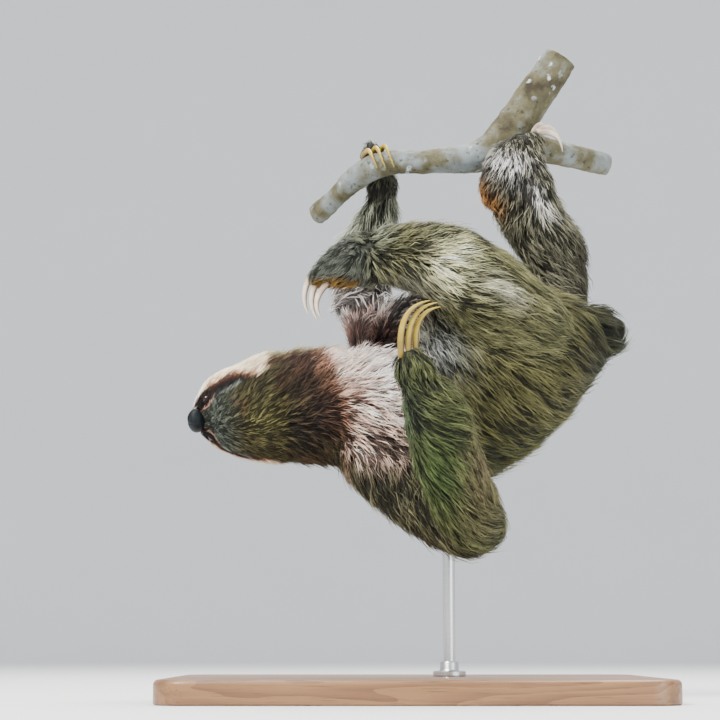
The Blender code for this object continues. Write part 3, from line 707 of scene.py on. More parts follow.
# The way the hair lies: away from the nose and down the limbs, with a whorl at the right ankle.
LIE = {  # for each part: (a place on it), (the way the hair points there)
    "head": [((-0.195, -0.03, 0.270), (0.85, 0, 0.40)), ((-0.150, -0.045, 0.262), (0.80, 0, 0.60)),
             ((-0.140, -0.030, 0.312), (0.80, 0, 0.55)), ((-0.160, -0.020, 0.232), (0.97, 0, -0.15)),
             ((-0.150, 0.050, 0.290), (1, 0, 0.05)), ((-0.175, 0.020, 0.325), (0.9, 0, 0.40)),
             ((-0.112, -0.045, 0.255), (0.75, 0, 0.65)), ((-0.150, 0.045, 0.240), (1, 0, -0.1))],
    "neck": [((-0.105, -0.045, 0.320), (0.80, 0, 0.45)), ((-0.080, -0.045, 0.312), (0.75, 0, 0.60)),
             ((-0.050, -0.050, 0.310), (0.85, 0, 0.45)), ((-0.060, -0.055, 0.280), (1, 0, 0.05)),
             ((-0.060, -0.050, 0.250), (0.75, 0, -0.65)), ((-0.085, -0.045, 0.245), (0.40, 0, -0.90)),
             ((-0.105, -0.040, 0.270), (0.70, 0, 0.60)), ((-0.110, -0.030, 0.235), (0.85, 0, -0.50)),
             ((-0.080, 0.055, 0.290), (1, 0, 0)), ((-0.080, 0.040, 0.240), (1, 0, -0.2))],
    "trunk": [((-0.040, -0.060, 0.320), (0.90, 0, 0.30)), ((-0.020, -0.065, 0.285), (1, 0, -0.10)),
              ((-0.030, -0.060, 0.250), (0.90, 0, -0.40)), ((-0.020, -0.050, 0.225), (0.90, 0, -0.30)),
              ((0.030, -0.070, 0.335), (0.62, 0, -0.78)), ((0.070, -0.080, 0.280), (0.75, 0, -0.62)),
              ((0.090, -0.070, 0.215), (0.93, 0, -0.30)), ((0.170, -0.030, 0.300), (0.90, 0, -0.35)),
              ((0.120, -0.060, 0.340), (0.85, 0, -0.50)), ((0.000, 0.060, 0.340), (0.60, 0, -0.80)),
              ((0.060, 0.080, 0.260), (0.80, 0, -0.60)), ((0.130, 0.070, 0.290), (0.90, 0, -0.40)),
              ((0.050, 0.000, 0.200), (1, 0, -0.15)), ((-0.030, 0.040, 0.230), (1, 0, -0.20))],
    "tail": [((0.190, 0, 0.356), (0.90, 0, -0.35))],
    "upper_arm_right": [((-0.020, -0.05, 0.225), (0.50, -0.1, -0.85)),
                        ((0.000, -0.05, 0.185), (0.60, -0.2, -0.75)),
                        ((0.030, -0.06, 0.155), (0.85, -0.1, -0.45)),
                        ((0.000, 0.01, 0.190), (0.80, -0.2, -0.50))],
    "forearm_right": [((0.000, -0.14, 0.290), (0.45, 0, -0.90)),
                      ((0.010, -0.14, 0.262), (0.80, 0, -0.45)),
                      ((0.020, -0.14, 0.240), (0.85, 0, -0.50)),
                      ((0.020, -0.13, 0.210), (0.52, 0, -0.85)),
                      ((0.045, -0.11, 0.185), (0.58, 0, -0.80)),
                      ((0.078, -0.07, 0.168), (0.97, 0, -0.22)),
                      ((0.025, -0.10, 0.160), (0.40, 0, -0.90)),
                      ((0.050, -0.09, 0.225), (0.85, 0, -0.50))],
    "hand_right": [((0, -0.125, 0.300), (0.40, 0, -0.90))],
    "upper_arm_left": [((-0.060, 0.05, 0.350), (-0.80, -0.1, 0.10)),
                       ((-0.035, 0.05, 0.365), (0.6, -0.1, 0.6)),
                       ((-0.065, 0.08, 0.395), (-0.30, 0, 0.80)),
                       ((-0.005, -0.01, 0.340), (0.75, 0, 0.25)),
                       ((-0.045, 0.08, 0.380), (-0.20, 0.3, 0.50))],
    "forearm_left": [((-0.035, 0.08, 0.460), (-0.15, 0.3, -1))],
    "hand_left": [((-0.034, 0.05, 0.534), (-0.1, 0, -1))],
    "thigh_right": [((0.060, -0.10, 0.405), (0.93, 0, -0.28)), ((0.100, -0.09, 0.375), (0.85, 0, -0.45)),
                    ((0.060, -0.08, 0.365), (0.95, 0, -0.30)), ((0.110, -0.03, 0.380), (0.95, 0, -0.10))],
    "shank_right": [((-0.042, -0.08, 0.442), (0.55, 0, 0.60)), ((-0.038, -0.08, 0.404), (0.45, 0, -0.85)),
                    ((-0.022, -0.08, 0.425), (0.95, 0, 0.05)), ((0.015, -0.10, 0.425), (1, 0, -0.02)),
                    ((0.000, -0.08, 0.388), (0.75, 0, -0.60)), ((0.010, -0.04, 0.420), (1, 0, 0))],
    "foot_right": [((-0.056, -0.075, 0.436), (-0.60, 0, 0.60)),
                   ((-0.052, -0.075, 0.410), (-0.30, 0, -0.95)),
                   ((-0.075, -0.06, 0.405), (-0.85, 0, -0.50)),
                   ((-0.070, -0.03, 0.390), (-0.95, 0, -0.2))],
    "thigh_left": [((0.140, 0.00, 0.420), (0.60, 0, -0.80)), ((0.160, 0.04, 0.420), (0.50, 0, -0.85))],
    "shank_left": [((0.105, -0.03, 0.470), (0.05, 0, -1)), ((0.095, -0.02, 0.480), (-0.30, 0, -0.95)),
                   ((0.145, 0.00, 0.460), (0.62, 0, -0.78)), ((0.120, 0.05, 0.470), (0.20, 0, -1))],
    "foot_left": [((0.110, -0.03, 0.510), (0.20, 0, -1)), ((0.090, -0.02, 0.505), (-0.40, 0, -0.90)),
                  ((0.075, -0.02, 0.490), (-0.35, 0, -0.90)), ((0.125, 0.02, 0.525), (0.2, 0, -1))],
}
LIE_REACH = 0.022
lie = np.zeros_like(skin_points)
for k, node in enumerate(FLESH):
    stations = np.array(LIE[node])
    far = ((skin_points[:, None] - stations[None, :, 0]) ** 2).sum(2) / LIE_REACH ** 2
    pull = np.exp(far.min(1, keepdims=True) - far)
    lie += belongs[:, [k]] * unit(pull @ stations[:, 1])
lie -= skin_normals * (lie * skin_normals).sum(1, keepdims=True)
lie += 0.22 * np.stack([rough(skin_points, 0.016, seed) for seed in (31, 32, 33)], 1)
lie = smoothed(lie, skin_edges, 9)
WHORL = (-0.050, -0.076, 0.424)    # in front of the right ankle
crossing = np.stack([rough(skin_points, 0.005, seed) for seed in (34, 35, 36)], 1)
lie += 1.8 * crossing * patch(skin_points, WHORL, (0.013, 0.03, 0.022))[:, None]
lie = unit(lie - skin_normals * (lie * skin_normals).sum(1, keepdims=True))

HAIR_LENGTH = {"head": 0.0120, "neck": 0.0210, "trunk": 0.0310, "tail": 0.0240,
               "upper_arm": 0.0270, "forearm": 0.0260, "hand": 0.0150,
               "thigh": 0.0300, "shank": 0.0240, "foot": 0.0110}
hair_length = belongs @ np.array([HAIR_LENGTH[part_kind(node)] for node in FLESH])

MARK_SHIFT = 0.45     # a mark is seen this far along the strands that carry it
SHORT_HAIR = 0.012    # and on hair as short as this, where it is
at = skin_points + MARK_SHIFT * np.maximum(hair_length - SHORT_HAIR, 0)[:, None] * lie
x, y, z = at.T
mirrored = both_sides(skin_points)
forward, sideways, crownward = mirrored.T
blotch = rough(at, 0.030, 11)
speckle = rough(at, 0.007, 12)
front = step(-y, -0.030, 0.000)
trunk = share_of("trunk", "tail")
arm = share_of("upper_arm_right", "forearm_right", "hand_right")
thigh_and_shank = share_of("thigh_right", "shank_right")
left_leg = share_of("thigh_left", "shank_left", "foot_left")
dome = share_of("upper_arm_left")

# back, flanks and rump, with painted shade darkening the lower front, the lower right side and the rump
paint(trunk * step(y, -0.02, 0.06) * step(blotch, 0.25, 0.6), (68, 62, 38), (180, 168, 114))
# painted shade: the lower front of the trunk darker
paint(trunk * front * step(-z, -0.27, -0.20) * 0.7, (26, 29, 14), (128, 130, 74), 0.28)
paint(trunk * patch(at, (0.020, -0.060, 0.334), (0.024, 0.05, 0.026)),
      (100, 102, 100), (176, 180, 180), 0.50)
# painted shade: the lower right side, the rump and the lower front at the head's end darker
paint(trunk * step(x, 0.040, 0.070) * step(-z, -0.300, -0.240), (26, 28, 14), (132, 132, 76), 0.16)
paint(trunk * step(x, 0.130, 0.170), (26, 27, 15), (88, 90, 60), 0.30)
paint(trunk * step(-z, -0.262, -0.235) * front * step(-x, -0.090, -0.060), (28, 30, 16),
      (104, 106, 64), 0.28)

# chest: cream over reddish roots, with a ragged edge against the throat and the arm, painted sunlight on
# its top and painted shade between the strands of its lower part
ragged = 0.005 * speckle + 0.004 * blotch
throat_line = np.interp(z, [0.200, 0.239, 0.257, 0.280, 0.304, 0.329, 0.345],
                        [-0.064, -0.0710, -0.0655, -0.0720, -0.0840, -0.0910, -0.094])
arm_line = np.interp(x, [-0.075, -0.0576, -0.0387, -0.0201, -0.0106, 0.0],
                     [0.243, 0.2340, 0.2210, 0.2270, 0.2390, 0.245])
body_front = share_of("neck", "trunk", "head", "upper_arm_right") * step(-y, -0.040, -0.005)
chest = (body_front * step(x - throat_line + ragged, -0.005, 0.006)
         * (1 - step(x + ragged, 0.002, 0.016)) * step(z - arm_line + ragged, -0.006, 0.010)
         * (1 - step(z + ragged, 0.326, 0.333)))
paint(chest, (112, 38, 27), (255, 224, 208), 0.66)
# painted sunlight: the top of the chest whiter still
paint(chest * patch(at, (-0.038, -0.040, 0.305), (0.042, 0.06, 0.030)),
      (220, 150, 130), (255, 248, 240), 0.70)
paint(chest * patch(at, (-0.066, -0.045, 0.275), (0.014, 0.05, 0.034)) * 0.8,
      (104, 46, 32), (246, 200, 176), 0.44)
# painted shade: dark roots and few pale strands on the lower chest, down to where the arm meets it
paint(chest * step(-z, -0.272, -0.250), (40, 15, 11), (255, 216, 198), 0.22)
paint(body_front * patch(at, (-0.012, -0.05, 0.236), (0.026, 0.06, 0.022)),
      (16, 10, 7), (216, 186, 166), 0.09)
paint(share_of("upper_arm_right") * step(-z, -0.226, -0.206), (26, 26, 16), (148, 142, 104), 0.18)
paint(body_front * patch(at, (-0.0679, -0.0437, 0.2687), (0.006, 0.02, 0.0045)) * 1.4,
      (10, 7, 6), (30, 20, 16), 0.05)
paint(body_front * patch(at, (-0.088, -0.045, 0.285), (0.012, 0.06, 0.040)) * (1 - chest),
      (40, 24, 18), (150, 104, 84), 0.22)
paint(body_front * patch(at, (-0.104, -0.040, 0.300), (0.016, 0.06, 0.022)) * (1 - chest),
      (42, 30, 24), (108, 82, 66))
# painted light: the top of the neck's front paler where the light falls from above
paint(share_of("neck") * step(z, 0.318, 0.330) * (1 - chest) * front, (64, 54, 38),
      (176, 162, 130))

# right arm: algae green, tan at the elbow; thigh and shank: pale patches of painted sunlight
paint(share_of("hand_right", "forearm_right"), (34, 40, 22), (132, 138, 84), 0.36)
paint(arm * patch(at, (0.018, -0.13, 0.200), (0.024, 0.05, 0.044)), (24, 42, 17), (116, 152, 78), 0.36)
paint(arm * patch(at, (0.072, -0.09, 0.162), (0.024, 0.05, 0.022)), (44, 44, 28), (156, 154, 112), 0.30)
paint(arm * patch(at, (0.050, -0.09, 0.220), (0.018, 0.05, 0.052)), (58, 50, 32), (168, 154, 112))
paint(arm * patch(at, (-0.010, -0.13, 0.255), (0.012, 0.05, 0.034)), (18, 32, 24), (76, 100, 78), 0.32)
paint(thigh_and_shank, (38, 39, 23), (160, 158, 108), 0.25)
# painted sunlight: two white patches on the thigh and shank
paint(thigh_and_shank * patch(at, (0.026, -0.105, 0.400), (0.020, 0.04, 0.019)),
      (70, 70, 30), (255, 253, 206), 0.66)
paint(thigh_and_shank * line_mask(at, [(0.064, -0.104, 0.381), (0.088, -0.097, 0.370)], 0.0100) * 1.3,
      (110, 100, 66), (255, 252, 226), 0.86)
paint(thigh_and_shank * patch(at, (-0.015, -0.08, 0.388), (0.026, 0.04, 0.012)),
      (48, 48, 44), (150, 146, 134))
paint((thigh_and_shank + trunk) * patch(at, (0.000, -0.05, 0.372), (0.026, 0.05, 0.014)),
      (50, 44, 34), (132, 122, 100))
sole = share_of("foot_right", "shank_right") * step(-x, 0.042, 0.052) * (1 - step(-x, 0.090, 0.096))
paint((thigh_and_shank + share_of("foot_right")) * (1 - sole)
      * patch(at, (-0.034, -0.10, 0.434), (0.011, 0.05, 0.018)) * 1.2,
      (66, 70, 58), (152, 160, 140), 0.32)
paint(sole * step(-z - 0.0012 * speckle, -0.3985, -0.3955), (84, 52, 14), (176, 136, 60))

# left shoulder: maroon darkened by painted shade under a cream and pink rim of painted sunlight, black
# and white fuzz above it painted as sunlit tips over shaded gaps
RIM = [(-0.074, 0.092, 0.362), (-0.069, 0.089, 0.3725), (-0.060, 0.070, 0.3784),
       (-0.052, 0.062, 0.3824), (-0.038, 0.056, 0.3846), (-0.026, -0.026, 0.3646),
       (-0.0185, -0.034, 0.3564), (-0.010, -0.040, 0.345)]
under_rim = ((dome + trunk + share_of("neck", "head")) * (1 - step(x, -0.012, 0.000))
             * step(z, 0.322, 0.330) * step(y, -0.060, -0.040))
# painted shade: the shoulder's underside, brown fur darkened to maroon as if in shadow
paint(np.maximum(dome, under_rim), (26, 13, 11), (140, 98, 84), 0.24)
shoulder_top = np.interp(x, [-0.070, -0.052, -0.038, -0.026, -0.0185, 0.0],
                         [0.374, 0.383, 0.385, 0.366, 0.358, 0.345])
# painted light and shade: white sunlit tips over black shaded roots above the shoulder
paint((dome + trunk + share_of("forearm_left")) * step(z - shoulder_top, 0.002, 0.006)
      * (1 - step(z, 0.420, 0.440)) * (1 - step(x, -0.002, 0.012)), (10, 7, 6), (244, 230, 222), 0.11)
# painted sunlight: the cream and pink rim along the top of the shoulder
paint((dome + trunk) * line_mask(skin_points + 0.008 * lie, RIM, 0.0075) * 1.5,
      (168, 84, 70), (255, 232, 220), 0.80)
paint(trunk * patch(at, (-0.004, -0.030, 0.372), (0.014, 0.04, 0.014)), (48, 40, 34),
      (164, 150, 132))

# left leg: pale in front with painted sunlight, rusty at the heel, with a painted shadow above the heel
paint(left_leg, (44, 42, 32), (166, 162, 134), 0.34)
# painted sunlight: white patches on the top and front of the leg
paint(left_leg * patch(at, (0.092, -0.028, 0.520), (0.021, 0.03, 0.010)) * 1.3, (130, 116, 108),
      (255, 253, 250), 0.80)
paint(left_leg * line_mask(at, [(0.120, -0.021, 0.492), (0.134, -0.013, 0.472)], 0.0070) * 1.2,
      (116, 104, 92), (255, 253, 250), 0.55)
paint(left_leg * line_mask(at, [(0.066, 0.0, 0.504), (0.070, -0.006, 0.490),
                                (0.081, -0.012, 0.477)], 0.0110) * 1.4,
      (120, 62, 16), (226, 164, 92), 0.45)
# painted shadow: a dark spot above the heel, where the branch shades it
paint(left_leg * patch(at, (0.075, -0.017, 0.517), (0.007, 0.03, 0.010)), (24, 20, 16), (84, 74, 60))
paint(left_leg * patch(at, (0.104, -0.026, 0.500), (0.014, 0.03, 0.007)), (32, 31, 32),
      (170, 168, 166))
paint(left_leg * step(x, 0.144, 0.160), (38, 36, 26), (112, 106, 84))

# head: the olive throat, the grey-green chin, and the same face on both sides
head = share_of("head", "neck") * (1 - chest)
# the face's lines run round the head: around is 0 degrees at the chin, 90 at the side, 180 on top
around = np.degrees(np.arctan2(sideways, -(crownward + 0.002)))
lip_line = np.interp(forward, [-0.010, 0.0071, 0.0139, 0.0225, 0.0312, 0.0376, 0.0441, 0.0500],
                     [54, 58.5, 57.5, 58.5, 59, 55.5, 53, 46])
lip_line += 5 * (in_head(skin_points)[:, 1] < 0)        # a little higher on the right cheek
brow_line = np.interp(forward, [-0.014, -0.0040, 0.0045, 0.0130, 0.0213, 0.0301, 0.0401, 0.0500],
                      [62, 62, 69, 75, 78, 80, 87, 98])
face_edge = np.interp(around, [60, 90, 130, 180], [-0.014, -0.016, -0.004, 0.010])
in_face = head * step(forward - face_edge + 0.4 * ragged, -0.003, 0.004)
above_brow = step(around - brow_line + 2.5 * speckle, -2, 2)
below_lip = 1 - step(around - lip_line + 1.5 * speckle, -2, 2)
throat = share_of("head") + share_of("neck") * (1 - step(x, -0.124, -0.106))
paint(throat * (1 - chest), (20, 17, 11), (132, 124, 80), 0.13)
paint(share_of("neck", "head") * (1 - chest) * step(x - throat_line + 2 * ragged, -0.018, -0.006)
      * front, (32, 18, 13), (216, 158, 126), 0.22)
paint(share_of("neck", "head") * (1 - chest) * patch(at, (-0.116, -0.045, 0.305), (0.014, 0.05, 0.018)),
      (26, 15, 12), (112, 74, 58), 0.26)
paint(share_of("neck") * (1 - chest) * step(-z, -0.262, -0.246), (26, 26, 17), (110, 104, 70), 0.26)
paint(head * step(speckle, 0.1, 0.7) * step(-forward, -0.030, -0.010), (36, 22, 16), (116, 80, 54), 0.34)
paint(head * patch(at, (-0.142, -0.04, 0.259), (0.022, 0.05, 0.016)), (20, 20, 11), (184, 176, 106), 0.10)
paint(head * patch(at, (-0.108, -0.035, 0.255), (0.018, 0.05, 0.034)), (15, 11, 8), (104, 84, 62), 0.12)
paint(head * patch(at, (-0.118, -0.040, 0.318), (0.014, 0.05, 0.012)), (30, 20, 16), (104, 70, 54), 0.28)
paint(head * below_lip * step(forward, 0.008, 0.032), (32, 37, 30), (136, 146, 130), 0.22)
paint(in_face * above_brow, (168, 88, 54), (255, 224, 188), 0.62)
paint(in_face * step(around, 105, 150), (96, 74, 52), (200, 182, 148))
paint(in_face * above_brow * step(-speckle, 0.1, 0.8) * 0.5, (96, 54, 36), (206, 156, 116))
stripe = head * (1 - below_lip) * (1 - above_brow) * step(forward, -0.014, -0.006)
paint(stripe, (18, 9, 7), (54, 34, 26))
paint(head * np.exp(-((around - brow_line + 1) / 4.0) ** 2) * step(forward, -0.012, 0.000)
      * (1 - step(forward, 0.034, 0.040)), (96, 48, 30), (178, 116, 82))
# painted sheen: a pale grey-blue band along the lip line
paint(head * np.exp(-((around - lip_line + 1) / 2.0) ** 2) * step(forward, 0.004, 0.014)
      * (1 - step(forward, 0.029, 0.034)) * 0.65, (84, 92, 92), (190, 198, 196))
paint(head * line_mask(mirrored, MOUTH, 0.0014), (24, 18, 16), (44, 36, 34))
paint(head * patch(mirrored, SOCKET_PLACE, (0.0062, 0.0062, 0.0048)) * 1.2,
      (26, 14, 12), (60, 40, 34))
paint(head * np.exp(-((around - lip_line - 4) / 2.8) ** 2) * step(forward, 0.031, 0.035) * 1.1,
      (190, 116, 98), (250, 200, 182), 0.52)
paint(head * step(forward, 0.044, 0.048) * above_brow, (150, 120, 104), (244, 232, 218))
paint(share_of("head", "neck") * (1 - in_face) * step(around, 82, 96) * step(-x, 0.070, 0.085)
      * (1 - 0.75 * step(around, 104, 122)), (52, 46, 30), (196, 184, 144), 0.42)
SHORT_COAT = 0.0030                                # depth of the coat on brow and forehead
forehead = head * step(forward, -0.015, 0.025) * step(around, 74, 98)
skin_depth = skin_depth + forehead * (SHORT_COAT - skin_depth)
# where the light shows through between thigh and shoulder the coat is drawn out to close the gap
skin_depth = skin_depth * (1 + 1.3 * patch(skin_points, (-0.008, -0.020, 0.384), (0.018, 0.035, 0.014))
                           + 1.0 * share_of("forearm_left") * step(-x, 0.030, 0.050)
                           * (1 - step(z, 0.470, 0.500)))

hide = add_mesh("skin_hide", skin_points, skin_quads)
hide_colour = hide.data.color_attributes.new("hide_colour", "FLOAT_COLOR", "POINT")
# painted shade: the hide's colour darkened to about half the root colour, as seen in the shade between
# hairs
hide_tint_and_shade = 0.55 * root_tint + 0.06 * tip_tint         # the hide is seen only between hairs
hide_colour.data.foreach_set("color", np.column_stack([hide_tint_and_shade, np.ones(len(at))]).ravel())
bpy.context.view_layer.objects.active = hide
hide.select_set(True)
bpy.ops.object.mode_set(mode="EDIT")
bpy.ops.mesh.select_all(action="SELECT")
bpy.ops.uv.smart_project(angle_limit=math.radians(66), island_margin=0.002)
bpy.ops.object.mode_set(mode="OBJECT")
hide.select_set(False)
hide.data.uv_layers[0].name = "OFBake"
hide_uv = numbers(hide.data.uv_layers["OFBake"].data, "uv", 2)

leather, shader, add, join = new_material("thin_haired_hide")
spot = add("ShaderNodeTexCoord").outputs["Object"]
hide_paint = add("ShaderNodeAttribute", attribute_name="hide_colour")
pore = add("ShaderNodeTexVoronoi", {"Vector": spot, "Scale": 900.0})
wrinkled = add("ShaderNodeGroup", {"Colour": hide_paint.outputs["Color"], "Place": spot,
                                   "Scale": 260.0, "Detail": 4.0, "Weakest": 0.7,
                                   "Strongest": 1.25}, node_tree=grime)
join(wrinkled.outputs["Colour"], shader.inputs["Base Color"])
hide_height = add("ShaderNodeMath", {0: pore.outputs["Distance"], 1: wrinkled.outputs["Amount"]},
                  operation="ADD")
hide_bump = add("ShaderNodeBump", {"Height": hide_height.outputs[0], "Strength": 0.5,
                                   "Distance": 0.0006})
join(hide_bump.outputs["Normal"], shader.inputs["Normal"])
shader.inputs["Roughness"].default_value = 0.7
shader.inputs["Specular IOR Level"].default_value = 0.3
hide.data.materials.append(leather)
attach(hide, "root")
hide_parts(*FLESH)

# ------------------------------------------------------------------------------------- eyes
# Glass eyes, dark brown with a round pupil, set in sockets; each is a ball with a slight
# swelling of the cornea, and lies between an upper and a lower lid cast in tinted resin.
EYE_RADIUS, EYE_SUNK = 0.0052, 0.0026
APERTURE = (math.radians(41), math.radians(21))     # half length and half height of the slit
skin_tree = tree_of(skin_points, skin_quads)


def about(centre, gaze, axis, reach, theta, phi):
    """Points at a reach from a centre: theta is the angle from the gaze, phi the turn from
    the slit's own long axis."""
    third = np.cross(gaze, axis)
    ray = (np.cos(theta)[..., None] * gaze
           + np.sin(theta)[..., None] * (np.cos(phi)[..., None] * axis
                                         + np.sin(phi)[..., None] * third))
    return centre + reach[..., None] * ray


def eye_set(side):
    """An eye's middle, its gaze (out of the skin beside it) and the long axis of its slit
    (from the nose's side towards the ear)."""
    mirror = np.array((1, 1 if side == "left" else -1, 1))
    middle = np.array(skin_tree.find_nearest(from_head(EYE_PLACE * mirror))[0])
    beside = (EYE_PLACE + (0.004, 0.006, -0.001)) * mirror
    out = np.array(skin_tree.find_nearest(from_head(beside))[1])
    gaze = unit(out + HEAD_AXES.T @ (np.array((0.35, 0.25, -0.05)) * mirror))
    slit = HEAD_AXES.T @ (np.array((-0.75, 0.65, -0.16)) * mirror)
    return middle - gaze * EYE_SUNK, gaze, unit(slit - gaze * (slit @ gaze))


glass, shader, add, join = new_material("glass_eye")
angle = add("ShaderNodeAttribute", attribute_name="gaze_angle")
rays = add("ShaderNodeTexNoise", {"Vector": add("ShaderNodeTexCoord").outputs["Object"],
                                  "Scale": 900.0, "Detail": 2.0})
iris_shade = add("ShaderNodeMapRange", {"Value": rays.outputs["Fac"], "To Min": 0.010,
                                        "To Max": 0.050})
iris_tone = add("ShaderNodeCombineColor", {"Red": iris_shade.outputs[0], "Green": 0.009,
                                           "Blue": 0.004})
pupil = add("ShaderNodeMapRange", {"Value": angle.outputs["Fac"], "From Min": 0.20,
                                   "From Max": 0.26})
ring = add("ShaderNodeMapRange", {"Value": angle.outputs["Fac"], "From Min": 0.55,
                                  "From Max": 0.68})
inner_eye = add("ShaderNodeMix", {"Factor": pupil.outputs[0], "A": (0.002, 0.002, 0.002, 1),
                                  "B": iris_tone.outputs[0]}, data_type="RGBA")
eye_colour = add("ShaderNodeMix", {"Factor": ring.outputs[0], "A": inner_eye.outputs["Result"],
                                   "B": (0.010, 0.006, 0.004, 1)}, data_type="RGBA")
join(eye_colour.outputs["Result"], shader.inputs["Base Color"])
shader.inputs["Roughness"].default_value = 0.12
shader.inputs["Specular IOR Level"].default_value = 0.4

# the ball's reach from its middle is its radius, and a bell curve about the gaze for the cornea
theta = np.concatenate([[1e-4], np.linspace(0, math.pi, 41)[1:-1], [math.pi - 1e-4]])
phi = np.linspace(0, 2 * math.pi, 64, endpoint=False)
theta_grid, phi_grid = np.meshgrid(theta, phi, indexing="ij")
reach = EYE_RADIUS + 0.00035 * np.exp(-(theta_grid / 0.55) ** 2)
for side in SIDES:
    middle, gaze, slit = eye_set(side)
    eye_points = about(middle, gaze, slit, reach, theta_grid, phi_grid).reshape(-1, 3)
    eye = add_mesh(f"eye_ball_{side}", eye_points, capped_faces(len(theta), len(phi)))
    mark_points(eye, "gaze_angle", theta_grid)
    eye.data.materials.append(glass)
    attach(eye, "root")
    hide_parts(f"eye_{side}")

lid_skin, shader, add, join = new_material("lid_skin")
spot = add("ShaderNodeTexCoord").outputs["Object"]
puckered = add("ShaderNodeGroup", {"Place": spot, "Scale": 700.0, "Detail": 4.0,
                                   "Deep": (*tint(10, 7, 6), 1), "Pale": (*tint(36, 24, 20), 1)},
               node_tree=cloudy_finish)
join(puckered.outputs["Colour"], shader.inputs["Base Color"])
lid_bump = add("ShaderNodeBump", {"Height": puckered.outputs["Amount"], "Strength": 0.5,
                                  "Distance": 0.0004})
join(lid_bump.outputs["Normal"], shader.inputs["Normal"])
shader.inputs["Roughness"].default_value = 0.65
shader.inputs["Specular IOR Level"].default_value = 0.15
for side in SIDES:
    middle, gaze, slit = eye_set(side)
    phi = np.linspace(0, 2 * math.pi, 72, endpoint=False)
    # the rim of the slit: an ellipse of power 1.7, so that its corners are drawn to points
    rim_angle = ((np.abs(np.cos(phi)) / APERTURE[0]) ** 1.7
                 + (np.abs(np.sin(phi)) / APERTURE[1]) ** 1.7) ** (-1 / 1.7)
    # out from the slit over the lid's back, then home along the ball: (turn outwards, height)
    lid_profile = np.array([(0.00, 0.00010), (0.01, 0.00055), (0.05, 0.00085), (0.14, 0.00095),
                            (0.30, 0.00090), (0.55, 0.00070), (0.85, 0.00030), (1.00, -0.0010),
                            (0.80, -0.00090), (0.40, -0.00030), (0.10, -0.00005)])
    out, rise = lid_profile[:, :1], lid_profile[:, 1:]
    lid_theta = rim_angle[None] + out * (math.radians(105) - rim_angle[None])
    crease = 0.00022 * np.exp(-((lid_theta - rim_angle - 0.30) / 0.07) ** 2) * (rise > 0)
    reach = EYE_RADIUS + rise - crease
    lid_points = about(middle, gaze, slit, reach, lid_theta,
                       np.broadcast_to(phi, lid_theta.shape)).reshape(-1, 3)
    lid_faces = grid_faces(len(lid_profile), len(phi))
    last_row = (len(lid_profile) - 1) * len(phi)
    k = np.arange(len(phi))
    closing = np.stack([last_row + k, last_row + (k + 1) % len(phi), (k + 1) % len(phi), k], 1)
    lids = add_mesh(f"eye_lids_{side}", lid_points, np.concatenate([lid_faces, closing]))
    lids.data.materials.append(lid_skin)
    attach(lids, "root")

# ------------------------------------------------------------------------------ nose and lips
# The nose is a naked leathery pad, wider than high, with two comma-shaped nostrils and a faint
# groove between them; the lips are two low dark rolls that meet along the mouth.
NOSE_HALF = np.array((0.0080, 0.0118, 0.0094))
NOSTRIL = np.array((0.0046, -0.0026))             # to the side, above the pad's middle


def nose_surface(rows, columns):
    """A pad by the angles a (round the forward axis) and b (away from it): an ellipsoid whose
    lower edge is drawn in, with a bell-shaped pit at each nostril drawn out to a comma, and
    a shallow groove down the middle."""
    b = np.linspace(1e-3, math.pi - 1e-3, rows)[:, None]
    a = np.linspace(0, 2 * math.pi, columns, endpoint=False)[None]
    u, v, w = np.broadcast_arrays(np.cos(b), np.sin(b) * np.cos(a), np.sin(b) * np.sin(a))
    narrow = 1 - 0.22 * step(-w, 0.1, 1.0)
    place = np.stack([NOSE_HALF[0] * u, NOSE_HALF[1] * v * narrow, NOSE_HALF[2] * w], -1)
    across, up = np.abs(place[..., 1]), place[..., 2]
    facing = step(u, -0.1, 0.3)
    pit = np.exp(-(((across - NOSTRIL[0]) / 0.0017) ** 2 + ((up - NOSTRIL[1]) / 0.0015) ** 2))
    tail_of_comma = np.exp(-(((across - NOSTRIL[0] - 0.0021) / 0.0015) ** 2
                             + ((up - NOSTRIL[1] - 0.0014) / 0.0007) ** 2))
    wing = np.exp(-(((across - NOSTRIL[0] - 0.0006) / 0.0030) ** 2
                    + ((up - NOSTRIL[1] - 0.0002) / 0.0030) ** 2))
    groove = np.exp(-(across / 0.0007) ** 2) * step(-up, -0.004, 0.000)
    push = facing * (0.0007 * wing - 0.0034 * pit - 0.0012 * tail_of_comma - 0.0005 * groove)
    normal = unit(place / NOSE_HALF ** 2)
    depth_mark = facing * np.clip(pit + 0.6 * tail_of_comma, 0, 1)
    return from_head(place + normal * push[..., None] + NOSE_PLACE), depth_mark


nose_grid, nose_depth = nose_surface(97, 160)
nose_pad = add_mesh("nose_pad", nose_grid.reshape(-1, 3), capped_faces(*nose_depth.shape))
mark_points(nose_pad, "nostril", nose_depth)
nose_leather, shader, add, join = new_material("nose_leather")
spot = add("ShaderNodeTexCoord").outputs["Object"]
pebbles = add("ShaderNodeTexVoronoi", {"Vector": spot, "Scale": 1300.0})
damp = add("ShaderNodeGroup", {"Place": spot, "Scale": 240.0, "Detail": 3.0,
                               "Deep": (*tint(4, 5, 6), 1), "Pale": (*tint(24, 31, 35), 1),
                               "Smooth": 0.38, "Dull": 0.55}, node_tree=cloudy_finish)
pit_mask = add("ShaderNodeAttribute", attribute_name="nostril")
nose_colour = add("ShaderNodeMix", {"Factor": pit_mask.outputs["Fac"],
                                    "A": damp.outputs["Colour"],
                                    "B": (0.003, 0.003, 0.003, 1)}, data_type="RGBA")
join(nose_colour.outputs["Result"], shader.inputs["Base Color"])
nose_bump = add("ShaderNodeBump", {"Height": pebbles.outputs["Distance"], "Strength": 0.35,
                                   "Distance": 0.0004})
join(nose_bump.outputs["Normal"], shader.inputs["Normal"])
